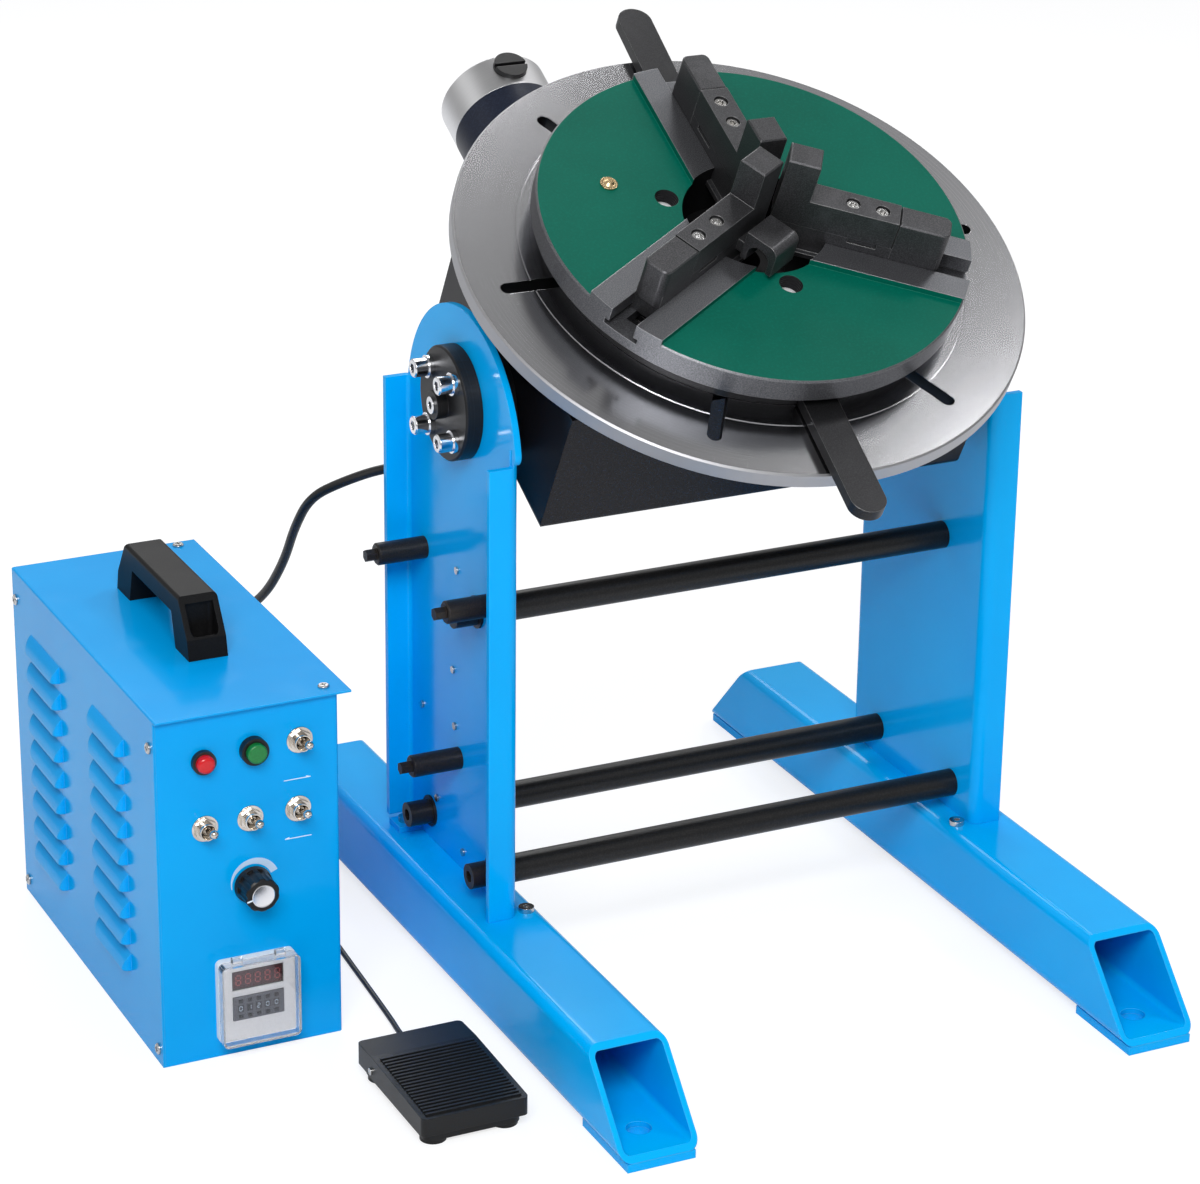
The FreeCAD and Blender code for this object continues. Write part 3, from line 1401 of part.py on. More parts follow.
clear = clear.cut(box(timer_left + timer_cover_wall, timer_right - timer_cover_wall,
                      cover_front + timer_cover_wall, cover_back + 1, timer_bottom + timer_cover_wall,
                      timer_top - timer_cover_wall))
lug_y = cover_back - timer_lug
lug_z = timer_top + timer_lug_rise
lugs = []
for x in (timer_left + timer_lug_inset, timer_right - timer_lug_inset - timer_lug_width):
    lugs.append(rod(timer_lug, V(x, lug_y, lug_z), V(x + timer_lug_width, lug_y, lug_z)))
    lugs.append(box(x, x + timer_lug_width, lug_y - timer_lug, cover_back,
                    timer_top - timer_cover_wall, lug_z))
keep("timer_cover", clear.fuse(lugs).removeSplitter())

# Power supply on the floor of the box
supply_right = box_right - supply_from_side
supply_back = box_back - supply_from_back
supply = box(supply_right - supply_width, supply_right, supply_back - supply_length, supply_back, box_sheet,
             box_sheet + supply_height)
supply = fillet_where(supply, supply_corner, lambda middle, ends: abs(ends.z) > supply_height / 2)
keep("power_supply", supply)


def gland(x, z, y):
    """Threaded bush with a hexagon and a tapered nose, along +Y from a wall at y."""
    body = hex_bar(gland_radius, V(x, y, z), V(0, gland_hexagon, 0))
    nose = Part.makeCone(gland_nose[0], gland_nose[1], gland_length - gland_hexagon,
                         V(x, y + gland_hexagon, z), V(0, 1, 0))
    return body.fuse(nose)


def junction():
    """Small black junction block on the inside of the left web, with a gland facing the rear."""
    back = junction_back - gland_length
    front = back - junction_length
    body = box(-web_in, -chassis_half_width - junction_gap, front, back, junction_z - junction_height / 2,
               junction_z + junction_height / 2)
    body = fillet_where(body, junction_corner, lambda middle, ends: abs(ends.x) > junction_corner)
    nose = Part.makeCone(junction_nose[0], junction_nose[1], gland_length, V(junction_x, back, junction_z),
                         V(0, 1, 0))
    return body.fuse(nose)


rear_glands = []
for place in (motor_gland, pedal_gland):
    bush = gland(place[0], place[1], box_back)
    neck = rod(gland_bush, V(place[0], box_back - box_sheet - gland_neck, place[1]),
               V(place[0], box_back, place[1]))
    rear_glands.append(bush.fuse(neck))


def inlet_block(grow, y0, y1):
    """A block about the inlet's centre, larger by grow on each side."""
    across = inlet_half[0] + grow
    rise = inlet_half[1] + grow
    return box(mains_inlet[0] - across, mains_inlet[0] + across, y0, y1,
               mains_inlet[1] - rise, mains_inlet[1] + rise)


inlet = inlet_block(0, box_back - inlet_depth, box_back)
inlet = inlet.fuse(inlet_block(inlet_flange, box_back, box_back + inlet_flange))
inlet = inlet.cut(inlet_block(-inlet_wall, box_back - inlet_socket, box_back + inlet_flange + 1))
keep("box_connectors", inlet, *rear_glands)
keep("motor_lead_junction", junction())

# Foot pedal: base with rubber lobes, tread pinned across the rear, return switch under the tread
base_left = pedal_left + pedal_wall + pedal_gap
base_right = pedal_right - pedal_wall - pedal_gap
base_front = pedal_front + pedal_wall + pedal_gap
base_back = pedal_back - pedal_wall - pedal_gap
base = box(base_left, base_right, base_front, base_back, pedal_base_bottom, pedal_base_top)
base = fillet_where(base, base_corner, lambda middle, ends: abs(ends.z) > 3)
lobes = []
for x in (base_left + pedal_lobe, base_right - pedal_lobe):
    for y in (base_front + pedal_lobe, base_back - pedal_lobe):
        lobes.append(upright_rod(pedal_lobe, x, y, 0, pedal_base_bottom))
ears = []
for x0 in (base_left, base_right - ear_width):
    x1 = x0 + ear_width
    ear = box(x0, x1, pedal_pin_y - ear_radius, pedal_pin_y + ear_radius, pedal_base_top, pedal_pin_z)
    ears.append(ear.fuse(rod(ear_radius, V(x0, pedal_pin_y, pedal_pin_z), V(x1, pedal_pin_y, pedal_pin_z))))
relief = Part.makeCone(relief_radii[0], relief_radii[1], relief_length,
                       V(pedal_exit_x, pedal_back, pedal_exit_z), V(0, 1, 0))
relief_root = rod(relief_radii[1], V(pedal_exit_x, base_back - ear_width, pedal_exit_z),
                  V(pedal_exit_x, pedal_back, pedal_exit_z))
base = base.fuse(lobes + ears + [relief, relief_root])
pin_line = (V(pedal_left - pin_stand, pedal_pin_y, pedal_pin_z),
            V(pedal_right + pin_stand, pedal_pin_y, pedal_pin_z))
base = base.cut(rod(pedal_pin, *pin_line))
keep("pedal_base", base)
hinge_pin = rod(pedal_pin, *pin_line)
keep("pedal_pin", hinge_pin)

profile = [V(pedal_left, pedal_front, pedal_skirt), V(pedal_left, pedal_back, pedal_skirt),
           V(pedal_left, pedal_back, pedal_height - tread_back_drop),
           V(pedal_left, pedal_pin_y, pedal_height),
           V(pedal_left, pedal_front, pedal_height - pedal_slope)]
tread = prism(profile, V(pedal_right - pedal_left, 0, 0))
tread = fillet_where(tread, tread_corner, lambda middle, ends: abs(ends.z) > 10 and abs(ends.y) < 1)
inside = [V(pedal_left + pedal_wall, pedal_front + pedal_wall, pedal_skirt - 1),
          V(pedal_left + pedal_wall, pedal_back - pedal_wall, pedal_skirt - 1),
          V(pedal_left + pedal_wall, pedal_back - pedal_wall, pedal_height - tread_back_drop - pedal_wall),
          V(pedal_left + pedal_wall, pedal_pin_y, pedal_height - pedal_wall),
          V(pedal_left + pedal_wall, pedal_front + pedal_wall, pedal_height - pedal_slope - pedal_wall)]
tread = tread.cut(prism(inside, V(pedal_right - pedal_left - 2 * pedal_wall, 0, 0)))
ribs = []
rib_start = pedal_front + rib_front
rib_zone = pedal_pin_y - rib_back - rib_start
for k in range(rib_count):
    y = rib_start + rib_zone * k / (rib_count - 1)
    rise = pedal_slope * (y - pedal_front) / (pedal_pin_y - pedal_front)
    level = pedal_height - pedal_slope + rise
    ribs.append(box(pedal_left + rib_side, pedal_right - rib_side, y - rib_width / 2, y + rib_width / 2,
                    level - rib_root, level + rib_height))
tread = tread.fuse(ribs)
tread = tread.cut([rod(pedal_pin + shaft_fit, *pin_line),
                   box(pedal_exit_x - exit_gap, pedal_exit_x + exit_gap, base_back - 1, pedal_back + 1,
                       pedal_skirt - 1, pedal_exit_z + exit_gap)])
keep("pedal_tread", tread)
switch_left = pedal_exit_x - switch_size[0] / 2
switch_front = pedal_front + switch_from_front
switch_top = pedal_base_top + switch_size[2]
switch = box(switch_left, switch_left + switch_size[0], switch_front, switch_front + switch_size[1],
             pedal_base_top, switch_top)
plunger = upright_rod(switch_plunger[0], pedal_exit_x, switch_front + switch_size[1] / 2, switch_top,
                      switch_top + switch_plunger[1])
keep("pedal_switch", switch.fuse(plunger))


# Cords
def cord_tube(route, diameter, label):
    """Straight runs joined by tangent arcs, each as large as its two runs allow."""
    points = [V(*point) for point in route]
    edges = []
    start = points[0]
    radii = []
    for k in range(1, len(points) - 1):
        before = points[k].sub(points[k - 1])
        after = points[k + 1].sub(points[k])
        shorter = min(before.Length, after.Length)
        turn = before.getAngle(after)
        reach = 0.45 * shorter
        radius = reach / math.tan(turn / 2)
        radii.append(round(radius))
        way_in = before / before.Length
        way_out = after / after.Length
        arc_start = points[k] - way_in * reach
        arc_end = points[k] + way_out * reach
        bisector = way_out - way_in
        bisector.normalize()
        to_centre = radius / math.cos(turn / 2)
        arc_middle = points[k] + bisector * (to_centre - radius)
        edges.append(Part.LineSegment(start, arc_start).toShape())
        edges.append(Part.Arc(arc_start, arc_middle, arc_end).toShape())
        start = arc_end
    edges.append(Part.LineSegment(start, points[-1]).toShape())
    path = Part.Wire(edges)
    first = points[1].sub(points[0])
    section = Part.Wire([Part.makeCircle(diameter / 2, points[0], first)])
    tube = path.makePipeShell([section], True, False)
    expected = math.pi * diameter ** 2 / 4 * path.Length
    print(label, "length", round(path.Length), "radii", radii, "volume ratio",
          round(tube.Volume / expected, 4))
    return tube


keep("motor_cable", cord_tube(motor_cable_route, motor_cable, "motor cable"))
keep("pedal_cable", cord_tube(pedal_cable_route, pedal_cable, "pedal cable"),
     cord_tube(pedal_tail_route, pedal_cable, "pedal cable tail"))
coil = upright_rod(coil_mean + coil_width / 2, coil_centre[0], coil_centre[1], 0, coil_height)
coil = coil.cut(upright_rod(coil_mean - coil_width / 2, coil_centre[0], coil_centre[1], -1, coil_height + 1))
keep("pedal_cable_coil", coil)

os.makedirs("parts", exist_ok=True)
for name, shape in nodes.items():
    if not shape.isValid():
        print("not valid:", name)
    shape.exportStep("parts/%s.step" % name)
print(len(nodes), "nodes,", sum(len(shape.Solids) for shape in nodes.values()), "solids")
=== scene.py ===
import json
import math
import bmesh
import bpy
from mathutils import Matrix, Vector


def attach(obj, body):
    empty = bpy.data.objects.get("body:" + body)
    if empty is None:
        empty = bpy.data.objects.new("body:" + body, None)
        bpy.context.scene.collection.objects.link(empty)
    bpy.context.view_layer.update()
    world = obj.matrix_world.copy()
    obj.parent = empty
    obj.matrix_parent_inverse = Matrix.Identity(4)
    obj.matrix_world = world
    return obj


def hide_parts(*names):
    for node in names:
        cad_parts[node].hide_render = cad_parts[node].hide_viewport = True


# The dress of a bench welding positioner: finishes, small trim, cords, floor, lights and camera.
# Metres, in the frame's axes: +X to the right, +Y to the back, +Z up.

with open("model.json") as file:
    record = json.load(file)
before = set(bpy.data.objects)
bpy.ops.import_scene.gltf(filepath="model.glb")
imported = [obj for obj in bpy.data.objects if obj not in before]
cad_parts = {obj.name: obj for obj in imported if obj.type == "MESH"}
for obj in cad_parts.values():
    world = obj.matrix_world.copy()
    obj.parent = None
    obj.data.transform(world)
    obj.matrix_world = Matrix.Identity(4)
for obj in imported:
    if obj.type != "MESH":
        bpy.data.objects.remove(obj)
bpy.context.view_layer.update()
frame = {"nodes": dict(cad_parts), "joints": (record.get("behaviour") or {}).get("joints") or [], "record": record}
nodes = frame["nodes"]
joints = {joint["name"]: joint for joint in frame["joints"]}
MM = 0.001

# The table's axis, and head coordinates: u along the tilt axis, v across, w up the table's axis
tilt_point = Vector(joints["head_tilt"]["pos_m"])
table_up = Vector(joints["table_spin"]["axis"])
table_lean = math.atan2(-table_up.y, table_up.z)
head_place = Matrix.Translation(tilt_point) @ Matrix.Rotation(table_lean, 4, "X")

# Sizes of the head, measured from the tilt axis with the table level
table_top = 105.2 * MM
table_radius = 200.0 * MM
table_rim = 1.4 * MM
table_bore = 58.0 * MM
# Depths below the table's face between which the slot walls carry painted shade
slot_shade_from = 0.7 * MM
slot_shade_to = 11.6 * MM
chuck_face = 140.2 * MM
chuck_radius = 150.0 * MM
rail_width = 59.0 * MM
rail_height = 4.5 * MM
rim_edge = 1.2 * MM
jaw_angles = (-30.0, -150.0, 90.0)
jaw_top = 36.0 * MM
jaw_screw_places = (59.0 * MM, 79.5 * MM)
jaw_screw_sink = 1.4 * MM
jaw_screw_radius = 4.6 * MM
jaw_screw_height = 5.5 * MM
jaw_socket_reach = 2.5 * MM
jaw_socket_depth = 3.0 * MM
through_circle = 61.0 * MM
through_hole = 8.25 * MM
chuck_bore = 50.0 * MM
# Depth below the chuck face from which the through holes carry painted light
hole_light_from = 11.5 * MM
thread_pitch = 2.0 * MM
motor_axis_u = -74.0 * MM
worm_height = 40.0 * MM

# Places on the control box
panel_y = -57.0 * MM
knob_centre = Vector((-372.5, 0.0, 125.0)) * MM
right_toggle = Vector((-339.0, 0.0, 174.3)) * MM
timer_face_y = -63.0 * MM
timer_left = -400.5 * MM
timer_width = 56.0 * MM
timer_top = 73.0 * MM
box_left = -439.0 * MM
box_top = 255.0 * MM
lens_base_y = panel_y - 4.0 * MM


def srgb(red, green, blue):
    """A colour given as 0 to 255 screen values, as the linear colour that shaders use."""
    linear = []
    for value in (red, green, blue):
        share = value / 255.0
        linear.append(share / 12.92 if share <= 0.04045 else ((share + 0.055) / 1.055) ** 2.4)
    return (linear[0], linear[1], linear[2], 1.0)


class Ink:
    """What flows out of one shader socket. Arithmetic on it adds Math nodes."""

    def __init__(self, shading, socket):
        self.shading = shading
        self.socket = socket

    def out(self, name):
        """Another output of the same node."""
        return Ink(self.shading, self.socket.node.outputs[name])

    def math(self, operation, first, second=0.0):
        """One Math node, on inks or plain numbers."""
        return self.shading.node("ShaderNodeMath", {"operation": operation}, {0: first, 1: second})

    def __add__(self, other):
        return self.math("ADD", self, other)

    def __radd__(self, other):
        return self.math("ADD", other, self)

    def __sub__(self, other):
        return self.math("SUBTRACT", self, other)

    def __rsub__(self, other):
        return self.math("SUBTRACT", other, self)

    def __mul__(self, other):
        return self.math("MULTIPLY", self, other)

    def __rmul__(self, other):
        return self.math("MULTIPLY", other, self)

    def __pow__(self, other):
        return self.math("POWER", self, other)

    def __lt__(self, other):
        return self.math("LESS_THAN", self, other)

    def __gt__(self, other):
        return self.math("GREATER_THAN", self, other)

    def size(self):
        """The value without its sign."""
        return self.math("ABSOLUTE", self)

    def larger(self, other):
        return self.math("MAXIMUM", self, other)

    def sine(self):
        return self.math("SINE", self)

    def cosine(self):
        return self.math("COSINE", self)

    def direction(self, across):
        """The angle of the point that lies at (across, self)."""
        return self.math("ARCTAN2", self, across)

    def repeat(self, span):
        """The value carried back into 0 to span, so that what follows is repeated."""
        return self.math("FLOORED_MODULO", self, span)

    def smooth(self, low, high):
        """0 below low, 1 above high, and a soft step between."""
        return self.shading.node("ShaderNodeMapRange", {"interpolation_type": "SMOOTHSTEP"},
                                 {"Value": self, "From Min": low, "From Max": high})


class Shading:
    """One shader tree being wired."""

    def __init__(self, tree):
        self.tree = tree

    def join(self, socket, value):
        """Give a socket a link or a value."""
        if isinstance(value, Ink):
            self.tree.links.new(value.socket, socket)
        else:
            socket.default_value = value

    def node(self, kind, settings=None, inputs=None, output=0):
        """Any node: its settings first, then values or links for its sockets."""
        made = self.tree.nodes.new(kind)
        for name, value in (settings or {}).items():
            setattr(made, name, value)
        for key, value in (inputs or {}).items():
            self.join(made.inputs[key], value)
        return Ink(self, made.outputs[output])

    def tint(self, amount, first, second):
        """One colour going over into another."""
        return self.node("ShaderNodeMix", {"data_type": "RGBA"}, {0: amount, 6: first, 7: second}, output=2)

    def place(self):
        """Where a point is, in the piece's own coordinates, which are the frame's at rest."""
        return self.node("ShaderNodeTexCoord", output="Object")

    def split(self, vector):
        """The three numbers of a vector."""
        parts = self.node("ShaderNodeSeparateXYZ", inputs={0: vector})
        return parts, parts.out("Y"), parts.out("Z")

    def head(self):
        """The same place measured from the tilt axis with the table level."""
        return self.node("ShaderNodeMapping", {"vector_type": "TEXTURE"},
                         {"Vector": self.place(), "Location": tilt_point,
                          "Rotation": (table_lean, 0.0, 0.0)})

    def noise(self, vector, per_metre, detail=2.0, stretch=None):
        """Grey cloud with about that many lumps in a metre; stretch scales the three axes."""
        if stretch:
            vector = self.node("ShaderNodeVectorMath", {"operation": "MULTIPLY"}, {0: vector, 1: stretch})
        return self.node("ShaderNodeTexNoise",
                         inputs={"Vector": vector, "Scale": per_metre, "Detail": detail})

    def rings(self, radius, per_metre, detail=3.0):
        """Grey bands that follow a distance, as a lathe tool leaves them."""
        return self.node("ShaderNodeTexNoise", {"noise_dimensions": "1D"},
                         {"W": radius, "Scale": per_metre, "Detail": detail})

    def bevel(self, radius):
        """The surface's direction with its sharp edges eased."""
        return self.node("ShaderNodeBevel", {"samples": 6}, {"Radius": radius})

    def edge(self, eased):
        """1 on outer and inner edges, 0 on flat faces."""
        flat = self.node("ShaderNodeNewGeometry", output="Normal")
        along = self.node("ShaderNodeVectorMath", {"operation": "DOT_PRODUCT"}, {0: eased, 1: flat},
                          output="Value")
        return (1.0 - along).smooth(0.02, 0.22)

    def bump(self, height, distance, strength, normal=None):
        """The surface's direction with a fine relief of that depth laid over it."""
        inputs = {"Height": height, "Distance": distance, "Strength": strength}
        if normal:
            inputs["Normal"] = normal
        return self.node("ShaderNodeBump", inputs=inputs)


class Finish(Shading):
    """A material: uniform values go on the main shader's own sockets, the rest is linked by name."""

    def __init__(self, name, uniform):
        self.material = bpy.data.materials.new(name)
        self.material.use_nodes = True
        super().__init__(self.material.node_tree)
        self.shader = self.tree.nodes["Principled BSDF"]
        self.set(uniform)

    def set(self, values):
        """Link or set sockets of the main shader by name."""
        for name, value in values.items():
            self.join(self.shader.inputs[name], value)


def enamel(name, colour, shade, gloss):
    """Sprayed gloss enamel: faint orange peel, clouds of shade, and lighter edges that are a painted highlight."""
    paint = Finish(name, {"Specular IOR Level": 0.1, "Coat Weight": 0.06, "Coat Roughness": 0.05})
    spot = paint.place()
    eased = paint.bevel(0.9 * MM)
    edge = paint.edge(eased)
    cloud = paint.noise(spot, 9.0, 3.0).smooth(0.3, 0.7)
    body = paint.tint(cloud, colour, shade)
    # Lighter edges: a painted highlight.
    edge_highlight = srgb(110, 205, 255)
    smear = paint.noise(spot, 38.0, 4.0).smooth(0.45, 0.75)
    peel = paint.noise(spot, 420.0, 1.0)
    paint.set({"Base Color": paint.tint(edge * 0.28, body, edge_highlight),
               "Roughness": smear * 0.07 + gloss,
               "Normal": paint.bump(peel, 0.03 * MM, 0.5, eased)})
    return paint.material


def black_coat(name, colour, worn, gloss, grain, depth, shine=0.3):
    """Black paint, oxide or moulding with a fine grain and rubbed edges."""
    coat = Finish(name, {"Specular IOR Level": shine})
    spot = coat.place()
    eased = coat.bevel(0.6 * MM)
    edge = coat.edge(eased)
    cloud = coat.noise(spot, 24.0, 4.0)
    rubbed = edge * cloud.smooth(0.35, 0.65)
    fine = coat.noise(spot, grain, 2.0)
    speckled = coat.tint(fine.smooth(0.4, 0.7) * 0.35, colour, worn)
    coat.set({"Base Color": coat.tint(rubbed * 0.6, speckled, worn),
              "Roughness": cloud * 0.16 + gloss,
              "Normal": coat.bump(fine, depth, 0.6, eased)})
    return coat.material


def bare_metal(name, colour, dull, gloss, grain, depth):
    """Bright or ground metal with a directionless grain."""
    metal = Finish(name, {"Metallic": 1.0})
    spot = metal.place()
    eased = metal.bevel(0.4 * MM)
    grains = metal.noise(spot, grain, 2.0)
    cloud = metal.noise(spot, 60.0, 3.0)
    metal.set({"Base Color": metal.tint(cloud.smooth(0.35, 0.7), colour, dull),
               "Roughness": cloud * 0.14 + gloss,
               "Normal": metal.bump(grains, depth, 0.5, eased)})
    return metal.material


def turned_steel():
    """The table: faced on a lathe, so fine rings round its axis; a rougher rim darkened as painted shade, and slot
    walls and bore painted black as shade.
    """
    steel = Finish("turned_steel", {"Specular IOR Level": 0.3})
    u, v, w = steel.split(steel.head())
    radius = (u * u + v * v) ** 0.5
    coarse = steel.rings(radius, 900.0, 4.0)
    fine = steel.rings(radius, 4200.0, 2.0)
    cloud = steel.noise(steel.head(), 7.0, 4.0)
    rim = radius > table_radius - table_rim
    below_face = (w < table_top - slot_shade_from) * (w > table_top - slot_shade_to)
    in_slot = below_face * (radius < table_radius - 3.0 * MM)
    # Slot walls and the bore painted black and not metallic: painted shade
    painted_shade = in_slot.larger(radius < table_bore)
    eased = steel.bevel(0.3 * MM)
    edge = steel.edge(eased)
    tone = steel.tint(coarse.smooth(0.3, 0.7), srgb(208, 208, 211), srgb(220, 220, 223))
    tone = steel.tint(cloud.smooth(0.35, 0.7) * 0.5, tone, srgb(192, 192, 196))
    # The rim's darker colour is painted shade that tones down the lamp's glint there.
    tone = steel.tint(rim * 0.7, tone, srgb(140, 140, 143))
    height = coarse * 0.55 + fine * 0.45
    tone = steel.tint(edge * 0.4, tone, srgb(225, 225, 228))
    steel.set({"Base Color": steel.tint(painted_shade, tone, srgb(14, 14, 15)),
               "Metallic": 1.0 - painted_shade,
               "Roughness": cloud * 0.05 + painted_shade * 0.25 + rim * 0.25 + 0.14,
               "Normal": steel.bump(height, 0.022 * MM, 0.6, eased)})
    return steel.material


def motor_cap():
    """The motor's end cap, turned on a lathe: its rings follow the place along the motor's axis."""
    metal = Finish("cast_aluminium", {"Metallic": 1.0})
    u, v, w = metal.split(metal.head())
    du = u - motor_axis_u
    dw = w - worm_height
    radius = (du * du + dw * dw) ** 0.5
    lathe = metal.rings(v + radius, 2600.0, 3.0)
    cloud = metal.noise(metal.place(), 30.0, 3.0)
    eased = metal.bevel(0.5 * MM)
    tone = metal.tint(lathe.smooth(0.3, 0.7), srgb(228, 228, 229), srgb(214, 214, 216))
    metal.set({"Base Color": tone,
               "Roughness": cloud * 0.1 + 0.28,
               "Normal": metal.bump(lathe, 0.01 * MM, 0.5, eased)})
    return metal.material


def blued_disc():
    """Blackened discs at the tilt pivot, turned about the tilt axis."""
    disc = Finish("blued_steel", {"Metallic": 0.4, "Specular IOR Level": 0.3})
    u, v, w = disc.split(disc.head())
    radius = (v * v + w * w) ** 0.5
    lathe = disc.rings(radius + u, 1700.0, 3.0)
    eased = disc.bevel(0.6 * MM)
    edge = disc.edge(eased)
    cloud = disc.noise(disc.place(), 40.0, 4.0)
    tone = disc.tint(lathe.smooth(0.3, 0.7), srgb(27, 27, 28), srgb(38, 38, 40))
    disc.set({"Base Color": disc.tint(edge * 0.5, tone, srgb(95, 95, 98)),
              "Roughness": cloud * 0.12 + 0.36,
              "Normal": disc.bump(lathe, 0.012 * MM, 0.5, eased)})
    return disc.material


def chuck_areas(radius, turn, w):
    """Where the chuck is green, and the walls of its through holes and of its bore."""
    third = math.radians(120.0)
    first = math.radians(jaw_angles[0]) - third / 2
    from_jaw = (turn - first).repeat(third) - third / 2
    clear_of_rails = (radius * from_jaw.sine()).size() > rail_width / 2 - 0.15 * MM
    on_face = (w > chuck_face - 0.1 * MM) * (radius < chuck_radius - rim_edge)
    below_top = w < chuck_face + rail_height - 0.35 * MM
    green = clear_of_rails * on_face * below_top
    from_gap = (turn - first - third / 2).repeat(third) - third / 2
    hole_u = radius * from_gap.cosine() - through_circle
    hole_v = radius * from_gap.sine()
    from_hole = (hole_u * hole_u + hole_v * hole_v) ** 0.5
    hole_wall = (from_hole < through_hole + 0.15 * MM) * (w < chuck_face - 0.1 * MM)
    bore_wall = (radius < chuck_bore + 0.2 * MM) * (w < chuck_face + rail_height - 0.3 * MM)
    return green, hole_wall, bore_wall


def chuck_paint():
    """The chuck: green enamel with a pebbled skin on its face, ground steel on rails and rim; bore and hole walls
    painted dark as shade, with painted light deep in the through holes.
    """
    chuck = Finish("chuck_green", {"Specular IOR Level": 0.08})
    u, v, w = chuck.split(chuck.head())
    radius = (u * u + v * v) ** 0.5
    green, hole_wall, bore_wall = chuck_areas(radius, v.direction(u), w)
    painted_light_in_holes = hole_wall * (w < chuck_face - hole_light_from)
    threads = (w * (2.0 * math.pi / thread_pitch)).sine() * hole_wall
    eased = chuck.bevel(0.7 * MM)
    edge = chuck.edge(eased)
    spot = chuck.head()
    pebble = chuck.noise(spot, 520.0, 3.0)
    weave = chuck.noise(spot, 240.0, 2.0, (0.45, 1.5, 1.0))
    cloud = chuck.noise(spot, 12.0, 3.0)
    enamel_tone = chuck.tint(cloud.smooth(0.3, 0.7), srgb(0, 92, 76), srgb(0, 85, 70))
    enamel_tone = chuck.tint(pebble.smooth(0.45, 0.75) * 0.3, enamel_tone, srgb(0, 112, 93))
    # Lighter edges of the green: a painted highlight.
    enamel_tone = chuck.tint(edge * 0.35, enamel_tone, srgb(70, 160, 135))
    grit = chuck.noise(spot, 1500.0, 2.0)
    steel_tone = chuck.tint(grit.smooth(0.35, 0.7), srgb(92, 93, 96), srgb(124, 125, 129))
    steel_tone = chuck.tint(edge * 0.7, steel_tone, srgb(185, 185, 188))
    lathe = chuck.rings(radius + w, 1500.0, 3.0)
    # Bore and hole walls painted dark and not metallic: painted shade; deep in the through holes a painted bright
    # patch: painted light
    steel_tone = chuck.tint(bore_wall, steel_tone, srgb(20, 20, 21))
    steel_tone = chuck.tint(hole_wall, steel_tone, srgb(44, 44, 46))
    steel_tone = chuck.tint(painted_light_in_holes, steel_tone, srgb(246, 246, 247))
    enamel_relief = (pebble * 0.6 + weave * 0.4) * green
    steel_relief = (grit * 0.5 + lathe * 0.3) * (1.0 - green)
    relief = enamel_relief + steel_relief + threads * 3.0
    chuck.set({"Base Color": chuck.tint(green, steel_tone, enamel_tone),
               "Metallic": (1.0 - green) * (1.0 - hole_wall) * (1.0 - bore_wall) * 0.85,
               "Roughness": green * 0.02 + 0.36 + cloud * 0.06,
               "Normal": chuck.bump(relief, 0.07 * MM, 0.5, eased)})
    return chuck.material


def jaw_steel(name, colour, light, gloss):
    """Black-oxide steel, ground: grey fine grain, faces rubbed, edges bright."""
    jaw = Finish(name, {"Metallic": 0.75})
    spot = jaw.place()
    eased = jaw.bevel(0.7 * MM)
    edge = jaw.edge(eased)
    grain = jaw.noise(spot, 1300.0, 2.0)
    cloud = jaw.noise(spot, 45.0, 4.0)
    tone = jaw.tint(grain.smooth(0.35, 0.75) * 0.7, colour, light)
    tone = jaw.tint(cloud.smooth(0.5, 0.75) * 0.35, tone, light)
    jaw.set({"Base Color": jaw.tint(edge * 0.75, tone, srgb(150, 150, 150)),
             "Roughness": cloud * 0.12 + gloss,
             "Normal": jaw.bump(grain, 0.03 * MM, 0.5, eased)})
    return jaw.material


def moulded(name, colour, shade, gloss, grain, depth, shine=0.5):
    """Moulded plastic or rubber with a fine matt grain."""
    skin = Finish(name, {"Specular IOR Level": shine})
    spot = skin.place()
    eased = skin.bevel(0.6 * MM)
    fine = skin.noise(spot, grain, 2.0)
    cloud = skin.noise(spot, 30.0, 3.0)
    skin.set({"Base Color": skin.tint(fine.smooth(0.35, 0.7), colour, shade),
              "Roughness": cloud * 0.12 + gloss,
              "Normal": skin.bump(fine, depth, 0.6, eased)})
    return skin.material


def lamp_plastic():
    """Pilot lamp: black ring, red glossy lens in front of it."""
    lamp = Finish("red_lens", {"Specular IOR Level": 0.5})
    x, y, z = lamp.split(lamp.place())
    lens = y < lens_base_y - 0.05 * MM
    cloud = lamp.noise(lamp.place(), 500.0, 2.0)
    red = lamp.tint(cloud, srgb(204, 14, 26), srgb(182, 8, 18))
    lamp.set({"Base Color": lamp.tint(lens, srgb(18, 17, 18), red),
              "Roughness": 0.42 - lens * 0.24,
              # The faint red emission on the lens is a painted glow.
              "Emission Color": lamp.tint(lens, (0.0, 0.0, 0.0, 1.0), srgb(150, 8, 12)),
              "Emission Strength": 0.05,
              "Normal": lamp.bump(cloud, 0.02 * MM, 0.4, lamp.bevel(0.4 * MM))})
    return lamp.material


def clear_cover():
    """Clear moulded cover of the timer."""
    clear = Finish("clear_plastic", {"Base Color": srgb(250, 251, 255), "Transmission Weight": 1.0,
                                     "IOR": 1.5})
    mark = clear.noise(clear.place(), 120.0, 3.0)
    ripple = clear.noise(clear.place(), 90.0, 1.0)
    clear.set({"Roughness": mark.smooth(0.5, 0.8) * 0.12 + 0.03,
               "Normal": clear.bump(ripple, 0.05 * MM, 0.3, clear.bevel(0.5 * MM))})
    return clear.material


def marked(name, colour, shade, rough):
    """Print, glass or paint of one colour with a faint mottle."""
    ink = Finish(name, {})
    mottle = ink.noise(ink.place(), 900.0, 2.0)
    ink.set({"Base Color": ink.tint(mottle, colour, shade),
             "Roughness": mottle * 0.1 + rough})
    return ink.material


